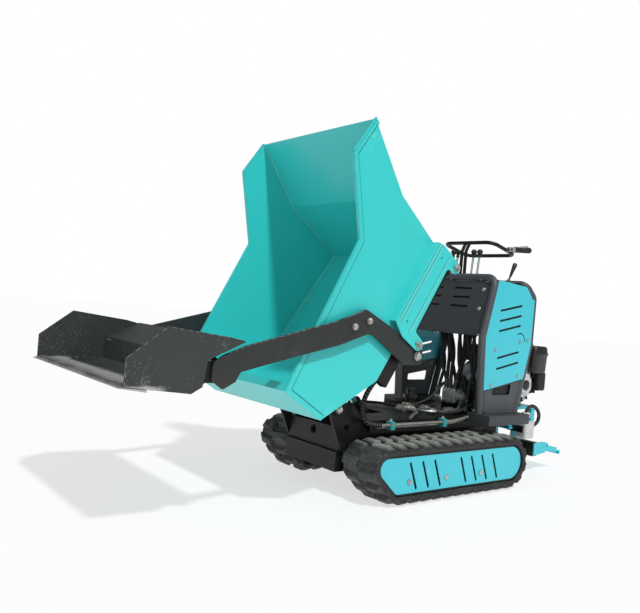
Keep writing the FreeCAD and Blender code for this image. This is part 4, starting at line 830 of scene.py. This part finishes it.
def fitting(name, place, ways):
    # forged block with a hexagon nut on each way out of it
    x, y, z = place
    boxPiece(name, (x - 0.013, y - 0.013, z - 0.012), (x + 0.013, y + 0.013, z + 0.012), zincSteel)
    for number, way in enumerate(ways):
        way = np.array(way, float)
        start = np.array(place) + way * 0.012
        turnedPiece(f"{name}Nut{number}", start, start + way * 0.024,
                    [(0, 0.0092), (0.5, 0.0092), (0.51, 0.0072), (1, 0.0068)], zincSteel,
                    sides=6, bevel=0.0008)


def deckFittings():
    # elbows and tees along the deck, joined by short black hoses
    level = hydraulics["deck"] + 0.0125
    places = [((0.118, 0.300, level), [(1, 0, 0), (0, 1, 0)]),
              ((0.058, 0.330, level), [(1, 0, 0), (0, -1, 0)]),
              ((0.128, 0.402, level), [(0, -1, 0), (0, 1, 0), (-1, 0, 0)]),
              ((-0.020, 0.300, level), [(0, 1, 0), (1, 0, 0)])]
    for number, (place, ways) in enumerate(places):
        fitting(f"deckFitting{number}", place, ways)
    runs = [[(0.152, 0.300, level), (0.170, 0.306, level), (0.172, 0.350, level),
             (0.168, 0.430, level + 0.004), (0.160, 0.500, level + 0.030)],
            [(0.014, 0.300, level), (0.034, 0.306, level + 0.010), (0.044, 0.300, level + 0.006),
             (0.058, 0.296, level)],
            [(0.128, 0.436, level), (0.130, 0.470, level + 0.010), (0.126, 0.510, level + 0.040),
             (0.110, 0.540, 0.380)],
            [(-0.020, 0.334, level), (-0.022, 0.380, level + 0.006), (-0.010, 0.440, level + 0.030),
             (0.000, 0.500, 0.380)]]
    for number, points in enumerate(runs):
        sweptPiece(f"deckHose{number}", smoothLine(points), circle(14) * hydraulics["hoseRadius"],
                   hoseRubber)


def hydraulicParts():
    # ported pump block on its foot, round filter head, square tank with a cap, and the deck's breather
    deck = hydraulics["deck"]
    pump = boxPiece("pumpBlock", *hydraulics["pump"], castAlloy, bevel=0.005)
    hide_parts("hydraulic_unit")
    low, high, top = hydraulics["foot"]
    boxPiece("pumpFoot", (*low, deck), (*high, top), blackPaint)
    (lowX, lowY, lowZ), (highX, highY, highZ) = hydraulics["pump"]
    spots = [(share, level) for level in hydraulics["boltLevels"] for share in hydraulics["bolts"]]
    for number, (share, level) in enumerate(spots):
        z = lowZ + (highZ - lowZ) * level
        boltPiece(f"pumpBolt{number}", (highX, lowY + (highY - lowY) * share, z), (1, 0, 0), 0.005)
        boltPiece(f"pumpFace{number}", (lowX + (highX - lowX) * share, lowY, z), (0, -1, 0), 0.005)
    parts = [("pumpGland", (0.078, 0.507, 0.334), (0.112, 0.507, 0.334),
              [(0, 0.024), (0.3, 0.024), (0.32, 0.018), (0.7, 0.018), (0.72, 0.013), (1, 0.013)],
              castAlloy, 24),
             ("filterHead", (0.044, 0.562, 0.3003), (0.044, 0.562, 0.412),
              [(0, 0.024), (0.1, 0.030), (0.5, 0.030), (0.52, 0.033), (0.66, 0.033), (0.68, 0.029),
               (0.86, 0.028), (0.88, 0.020), (1, 0.018)], blackPlastic, 32),
             ("tankCap", (0.030, 0.628, 0.349), (0.030, 0.628, 0.378),
              [(0, 0.016), (0.4, 0.016), (0.42, 0.024), (0.95, 0.024), (1, 0.021)], blackPlastic, 12),
             ("breather", (-0.060, 0.360, deck), (-0.060, 0.360, deck + 0.078),
              [(0, 0.034), (0.16, 0.034), (0.18, 0.022), (0.46, 0.022), (0.48, 0.030), (0.66, 0.030),
               (0.68, 0.017), (0.86, 0.017), (0.88, 0.021), (1, 0.019)], blackPlastic, 8)]
    for name, start, end, outline, material, sides in parts:
        turnedPiece(name, start, end, outline, material, sides=sides, bevel=0.001)
    boxPiece("oilTank", *hydraulics["tank"], blackPaint, bevel=0.006)
    low, high, tall = hydraulics["box"]
    boxPiece("deckBox", (*low, deck), (*high, deck + tall), blackPaint)
    low, high, tall = hydraulics["tee"]
    boxPiece("teeBlock", (*low, deck), (*high, deck + tall), zincSteel, bevel=0.002)
    # the tee block's nuts, and the pipes and hoses that leave them
    level = deck + 0.014
    ways = [(0.062, 0.222, 1, 0), (0.062, 0.246, 1, 0), (0.020, 0.234, -1, 0), (0.041, 0.205, 0, -1),
            (0.041, 0.262, 0, 1)]
    for number, (x, y, alongX, alongY) in enumerate(ways):
        end = (x + alongX * 0.024, y + alongY * 0.024, level)
        turnedPiece(f"teeNut{number}", (x, y, level), end,
                    [(0, 0.0095), (0.55, 0.0095), (0.56, 0.0075), (1, 0.007)], zincSteel,
                    sides=6, bevel=0.0008)
    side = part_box("deck_plate")[1].x
    runs = [[(0.080, 0.222, level), (0.120, 0.216, level), (0.158, 0.180, level), (0.176, 0.140, level),
             (side + pipes["places"][0][0], 0.108, level - 0.010)],
            [(0.080, 0.246, level), (0.130, 0.250, level), (0.160, 0.330, level), (0.150, 0.420, level),
             (0.118, 0.470, level + 0.010), (0.104, 0.500, 0.320)],
            [(0.041, 0.285, level), (0.041, 0.340, level), (0.030, 0.420, level + 0.004),
             (0.030, 0.470, 0.310)],
            [(0.000, 0.234, level), (-0.050, 0.236, level), (-0.110, 0.200, level), (-0.150, 0.120, level)]]
    for number, points in enumerate(runs):
        sweptPiece(f"deckLine{number}", smoothLine(points), circle(14) * hydraulics["lineRadius"],
                   zincSteel if number < 2 else hoseRubber)


# y, z and face: the starter's axis and the side that it stands on; the small parts by their ends or corners
engine = {"y": 0.768, "z": 0.396, "face": 0.1503, "vents": 12,
          "carburettor": ((0.118, 0.842, 0.408), (0.176, 0.880, 0.452)),
          "sparkCap": ((0.080, 0.886, 0.420), (0.128, 0.902, 0.446)),
          "floatBowl": ((0.146, 0.861, 0.384), (0.146, 0.861, 0.409)),
          "cables": [[(0.128, 0.902, 0.446), (0.160, 0.906, 0.470), (0.190, 0.890, 0.455),
                      (0.200, 0.850, 0.400), (0.180, 0.830, 0.330)],
                     [(0.176, 0.860, 0.430), (0.205, 0.850, 0.425), (0.215, 0.820, 0.480),
                      (0.190, 0.760, 0.500)],
                     [(0.190, 0.640, 0.800), (0.196, 0.700, 0.690), (0.200, 0.745, 0.560),
                      (0.190, 0.800, 0.470), (0.168, 0.850, 0.440)]], "cableRadius": 0.0032,
          "hoseRadius": 0.0075}


def superLoop(low, high, power=0.45, sides=40):
    # rounded rectangle: cosine and sine of a full turn, each raised to a power below one with its sign kept
    turn = circle(sides)
    middle, half = (np.array(low) + np.array(high)) / 2, (np.array(high) - np.array(low)) / 2
    return middle + half * np.sign(turn) * np.abs(turn) ** power


def stackedPiece(name, low, high, levels, material):
    # rounded rectangle stacked in height: each level is (z, share of the full width)
    loop = superLoop(low, high)
    middle = loop.mean(axis=0)
    grid = np.stack([np.insert(middle + (loop - middle) * share, 2, z, axis=1) for z, share in levels])
    return ringPiece(name, grid, material)


def enginePieces():
    # recoil starter with its vents, lidded air box, the small parts round the cylinder, cables and a hose
    y, z, face = engine["y"], engine["z"], engine["face"]
    starter = turnedPiece("starterCover", (face, y, z), (face + 0.072, y, z),
                          [(0, 0.079), (0.55, 0.079), (0.72, 0.070), (0.76, 0.056), (0.86, 0.052),
                           (0.88, 0.038), (1, 0.034)], starterSilver, sides=48)
    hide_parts("recoil_starter")
    turnedPiece("starterRim", (face + 0.030, y, z), (face + 0.042, y, z), [(0, 0.0798), (1, 0.0798)],
                blackPlastic, sides=48)
    turnedPiece("starterHub", (face + 0.071, y, z), (face + 0.078, y, z),
                [(0, 0.022), (0.7, 0.021), (1, 0.012)], blackPlastic)
    for number in range(engine["vents"]):
        turn = number * 2 * math.pi / engine["vents"]
        ahead, up = math.cos(turn), math.sin(turn)
        start, end = [(face + 0.056, y + ahead * away, z + up * away) for away in (0.049, 0.072)]
        turnedPiece(f"starterVent{number}", start, end,
                    [(0, 0.003), (0.1, 0.004), (0.9, 0.005), (1, 0.003)], blackPlastic, sides=10)
    low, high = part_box("air_filter")
    rise = high.z - low.z
    sides = [(0.0, 0.84), (0.05, 0.90), (0.62, 0.95), (0.66, 0.98), (0.67, 1.0), (0.74, 1.0), (0.75, 0.96),
             (0.92, 0.92), (0.98, 0.86), (0.985, 0.80)]
    levels = [(low.z + rise * share, wide) for share, wide in sides]
    box = stackedPiece("airBox", (low.x + 0.004, low.y - 0.004), (high.x, high.y), levels, blackPlastic)
    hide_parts("air_filter")
    x, middle = (low.x + high.x) / 2, (low.y + high.y) / 2
    turnedPiece("airBoxKnob", (x, middle, high.z - 0.003), (x, middle, high.z + 0.012),
                [(0, 0.012), (0.6, 0.012), (1, 0.008)], blackPlastic, sides=8)
    boxPiece("carburettor", *engine["carburettor"], castAlloy, bevel=0.004)
    turnedPiece("sparkCap", *engine["sparkCap"], [(0, 0.009), (0.5, 0.010), (0.6, 0.013), (1, 0.010)],
                blackPlastic)
    turnedPiece("floatBowl", *engine["floatBowl"], [(0, 0.010), (0.15, 0.016), (1, 0.017)], zincSteel)
    for number, points in enumerate(engine["cables"]):
        sweptPiece(f"engineCable{number}", smoothLine(points), circle(10) * engine["cableRadius"],
                   hoseRubber)
    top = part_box("oil_reservoir")[1].z
    loop = [(0.234, 0.768, top - 0.004), (0.236, 0.772, top + 0.020), (0.242, 0.810, top + 0.030),
            (0.246, 0.850, top - 0.004), (0.240, 0.850, top - 0.050), (0.222, 0.812, top - 0.070),
            (0.214, 0.798, top - 0.074)]
    sweptPiece("tankHose", smoothLine(loop), circle(14) * engine["hoseRadius"], hoseRubber)


# the skip drawn level: rim and holes as (reach, height), folds as (height, start, end, half width),
# heel as (reach, x), inside as (x, reach, height); front: (y, z) of that drawing's origin
tip = {"angle": 57.57, "front": (-0.204, 0.432), "plate": 0.356, "bead": 0.0028, "half": 0.326,
       "bar": 0.016,
       "rim": [(0.6675, 0.5366), (0.5205, 0.5404), (0.3173, 0.3473), (-0.224, 0.2963), (-0.224, 0.1245)],
       "folds": [(0.000, 0.196, 0.520, 0.003), (0.052, 0.206, 0.524, 0.0026),
                 (0.066, 0.210, 0.526, 0.0026)], "holes": [(0.222, 0.034), (0.492, 0.034)],
       "heel": ((0.118, 0.3235), (0.530, 0.2995)),
       "inside": [(0.3206, 0.114, 0.0040), (0.2942, 0.5340, 0.0040), (0.3110, 0.5572, 0.2834),
                  (0.3202, 0.6622, 0.5330)]}

# pivot: (reach, height) of the arms' shaft; bolts: (y, z) at the elbow; head: x of the arm's outer face
loader = {"pivot": (0.160, -0.089), "collar": 0.350, "bolts": [(-0.346, 0.609), (-0.286, 0.630)],
          "head": 0.3614, "body": holder["arm_cross_shaft"]}


def tippedPoint(reach, high):
    # point of the skip drawn level, as (y, z) of the tipped skip: turned by the tip angle about its origin
    turn = math.radians(tip["angle"])
    return (tip["front"][0] + reach * math.cos(turn) - high * math.sin(turn),
            tip["front"][1] + reach * math.sin(turn) + high * math.cos(turn))


def skipDetails():
    # on each side: the lug plate's folds with painted highlights and painted shadow lines, black discs as
    # painted shade in its holes, weld beads (the inside ones with a painted highlight), rim bars with
    # painted shadow lines, pivot nuts and elbow bolts
    face = tip["plate"]
    for name, sign in (("Left", 1), ("Right", -1)):
        for number, (high, start, end, wide) in enumerate(tip["folds"]):
            # each fold is a low ridge in pale paint as a painted highlight, with a painted shadow line
            # along its upper side
            kinds = [("Fold", -wide, wide, 0.0012, paleHighlightPaint, 0.001),
                     ("ShadowLine", wide, wide + 0.0022, 0.0003, shadowLinePaint, 0.0)]
            for kind, near, far, proud, finish, bevel in kinds:
                corners = [tippedPoint(reach, high + step)
                           for reach, step in ((start, near), (end, near), (end, far), (start, far))]
                low, top = sorted((sign * (face - 0.001), sign * (face + proud)))
                slabPiece(f"plate{kind}{name}{number}", corners, low, top, finish, "skip", bevel=bevel)
        # painted shade: a black disc in each hole stands for its shaded inside
        for number, spot in enumerate(tip["holes"]):
            y, z = tippedPoint(*spot)
            turnedPiece(f"plateHoleShade{name}{number}", (sign * (face - 0.002), y, z),
                        (sign * (face + 0.0004), y, z), [(0, 0.0032), (1, 0.0032)], blackPaint, "skip",
                        sides=14)
        steps = 30
        reach, inset = np.linspace(*tip["heel"], steps).T
        line = np.array([(sign * x, *tippedPoint(along, -0.0012)) for along, x in zip(reach, inset)])
        line[:, 1] += 0.0012 * np.sin(np.arange(steps) * 2.4)
        sweptPiece("heelWeld" + name, line, circle(8) * tip["bead"], turquoise, "skip")
        y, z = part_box("skip_pivot_shaft")[0].yz / 2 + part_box("skip_pivot_shaft")[1].yz / 2
        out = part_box("skip_pivot_shaft")[1].x
        boltPiece("pivotNut" + name, (sign * out, y, z), (sign, 0, 0), 0.011)
        rimBars(name, sign)
        # inside weld beads in the pale paint, a painted highlight along each bead
        corners = [(sign * x, *tippedPoint(reach, high)) for x, reach, high in tip["inside"]]
        for number, (start, end) in enumerate(zip(corners[:-1], corners[1:])):
            steps = 70
            ripple = 1 + 0.25 * np.sin(np.arange(steps) * 2.4)
            sweptPiece(f"insideWeld{name}{number}", np.linspace(start, end, steps), circle(8) * tip["bead"],
                       paleHighlightPaint, "skip", girth=ripple)
        y, z = tippedPoint(*loader["pivot"])
        boltPiece("loaderPivot" + name, (sign * loader["collar"], y, z), (sign, 0, 0), 0.012,
                  body=loader["body"])
        for number, (y, z) in enumerate(loader["bolts"]):
            boltPiece(f"elbowBolt{name}{number}", (sign * loader["head"], y, z), (sign, 0, 0), 0.0088,
                      body=loader["body"])


def rimBars(name, sign):
    # flat bars along a side's open edges, mitred: inner corner = corner + width (n1 + n2) / (1 + n1.n2)
    corners = np.array(tip["rim"])
    along = np.diff(corners, axis=0)
    along /= np.linalg.norm(along, axis=1, keepdims=True)
    normal = np.stack([-along[:, 1], along[:, 0]], -1)
    before, after = np.vstack([normal[:1], normal]), np.vstack([normal, normal[-1:]])
    mitre = (before + after) / (1 + (before * after).sum(axis=1, keepdims=True))
    # the bar, and a painted shadow line where it ends on the sheet
    kinds = [("Bar", 0.0, tip["bar"], 0.0034, turquoise),
             ("ShadowLine", tip["bar"] - 0.0004, tip["bar"] + 0.0044, 0.0005, shadowLinePaint)]
    for kind, near, far, proud, finish in kinds:
        outer, inner = corners + mitre * near, corners + mitre * far
        for number in range(len(along)):
            quad = (outer[number], outer[number + 1], inner[number + 1], inner[number])
            low, high = sorted((sign * (tip["half"] - 0.001), sign * (tip["half"] + proud)))
            slabPiece(f"rim{kind}{name}{number}", [tippedPoint(*spot) for spot in quad], low, high,
                      finish, "skip", bevel=0.0)


# painted highlight lines along edges, on the cheeks also rubbed paint, as (y, z), each at its own x; latch:
# side view of the latch plates' tops
worn = {"cheek": [(-1.0915, 0.427), (-1.0915, 0.4985), (-0.985, 0.5815), (-0.880, 0.569), (-0.800, 0.5595)],
        "armTop": [(-0.792, 0.5160), (-0.737, 0.5365), (-0.640, 0.5625), (-0.520, 0.5945), (-0.420, 0.6210),
                   (-0.310, 0.6600)], "cheekX": 0.3622, "armTopX": 0.3536, "radius": 0.0012,
        "latch": [(-0.868, 0.4885), (-0.842, 0.4925), (-0.842, 0.4975), (-0.868, 0.4935)],
        "latchX": (0.300, 0.3455), "steps": 12}


def paintedEdgeHighlights():
    # thin pale lines along the cheeks' and arms' edges as painted highlights, on the cheeks also rubbed
    # paint, and painted highlights on the latches' tops
    for name, sign in (("Left", 1), ("Right", -1)):
        for kind in ("cheek", "armTop"):
            joints = [(sign * worn[kind + "X"], y, z) for y, z in worn[kind]]
            for number, (start, end) in enumerate(zip(joints[:-1], joints[1:])):
                line = np.linspace(start, end, worn["steps"])
                ragged = 0.8 + 0.35 * np.sin(np.arange(worn["steps"]) * (1.7 + number))
                sweptPiece(f"{kind}Wear{name}{number}", line, circle(6) * worn["radius"], edgeHighlightAndWear,
                           loader["body"], girth=ragged, slot=slotOf["front_arm_plates"])
        low, high = sorted(sign * x for x in worn["latchX"])
        slabPiece("latchTop" + name, worn["latch"], low, high, edgeHighlightAndWear, loader["body"],
                  slot=slotOf["bucket_brackets"])


paintedEdgeHighlights()
consoleDetails()
hoseBundle()
hydraulicParts()
deckFittings()
enginePieces()
skipDetails()
print("console, hydraulic, engine and skip details made")


tank = {"low": (0.205, 0.735), "high": (0.262, 0.800), "z": (0.172, 0.246), "round": 0.009,
        "cap": (0.234, 0.768), "capFrom": 0.244, "strap": ((0.170, 0.7303), (0.250, 0.7349)),
        "strapZ": (0.198, 0.226)}


def reservoir():
    # moulded white tank, its corners well rounded, with a white filler cap, on a black strap
    outline = boxOutline(tank["low"], tank["high"])
    body = slabPiece("reservoirTank", outline, *tank["z"], whitePlastic, across=axisZ,
                     bevel=tank["round"], segments=5)
    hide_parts("oil_reservoir")
    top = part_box("oil_reservoir")[1].z
    turnedPiece("reservoirCap", (*tank["cap"], tank["capFrom"]), (*tank["cap"], top),
                [(0, 0.014), (0.4, 0.014), (0.42, 0.019), (0.92, 0.019), (1, 0.016)], whitePlastic)
    slabPiece("reservoirBracket", boxOutline(*tank["strap"]), *tank["strapZ"], blackPaint,
              across=axisZ)


reservoir()


studio = {"floor": 60.0, "floorLevel": -0.0008, "glow": 0.66, "air": 0.28, "backdrop": 1.0, "key": 2.3,
          "keyFrom": (0.6, -0.13, 0.8), "keySoft": 4.0, "fill": 0.35, "fillFrom": (0.5, -0.8, 0.35),
          "fillSoft": 60.0}


def buildStudio():
    # pale floor that glows a little, so that shadows on it stay light, soft air, and two sun lamps
    size = studio["floor"] / 2
    finish = Finish("paleFloor")
    tone = finish.mix(finish.noise(0.6, 2.0), tint(158, 158, 158), tint(163, 163, 163))
    finish.done(Base_Color=tone, Roughness=0.9, Specular_IOR_Level=0.0, Emission_Color=(1, 1, 1, 1),
                Emission_Strength=studio["glow"])
    mesh = bpy.data.meshes.new("floor")
    corners = [(x, y, studio["floorLevel"]) for x, y in boxOutline((-size, -size), (size, size))]
    mesh.from_pydata(corners, [], [(0, 1, 2, 3)])
    mesh.materials.append(finish.material)
    floor = bpy.data.objects.new("floor", mesh)
    scene.collection.objects.link(floor)
    world = bpy.data.worlds.new("studioAir")
    world.use_nodes = True
    tree = world.node_tree
    seen = tree.nodes.new("ShaderNodeLightPath")
    level = tree.nodes.new("ShaderNodeMapRange")  # soft air as light, a white backdrop to look at
    level.inputs["To Min"].default_value = studio["air"]
    level.inputs["To Max"].default_value = studio["backdrop"]
    tree.links.new(seen.outputs["Is Camera Ray"], level.inputs["Value"])
    tree.links.new(level.outputs["Result"], tree.nodes["Background"].inputs["Strength"])
    tree.nodes["Background"].inputs["Color"].default_value = (1, 1, 1, 1)
    scene.world = world
    for name in ("key", "fill"):
        data = bpy.data.lights.new(name + "Light", "SUN")
        data.energy, data.angle = studio[name], math.radians(studio[name + "Soft"])
        lamp = bpy.data.objects.new(name + "Light", data)
        lamp.location = Vector(studio[name + "From"]) * 4
        lamp.rotation_mode = "QUATERNION"
        lamp.rotation_quaternion = Vector(studio[name + "From"]).to_track_quat("Z", "Y")
        scene.collection.objects.link(lamp)
    scene.view_settings.view_transform = "Standard"


buildStudio()
print("studio made")

bpy.context.view_layer.update()
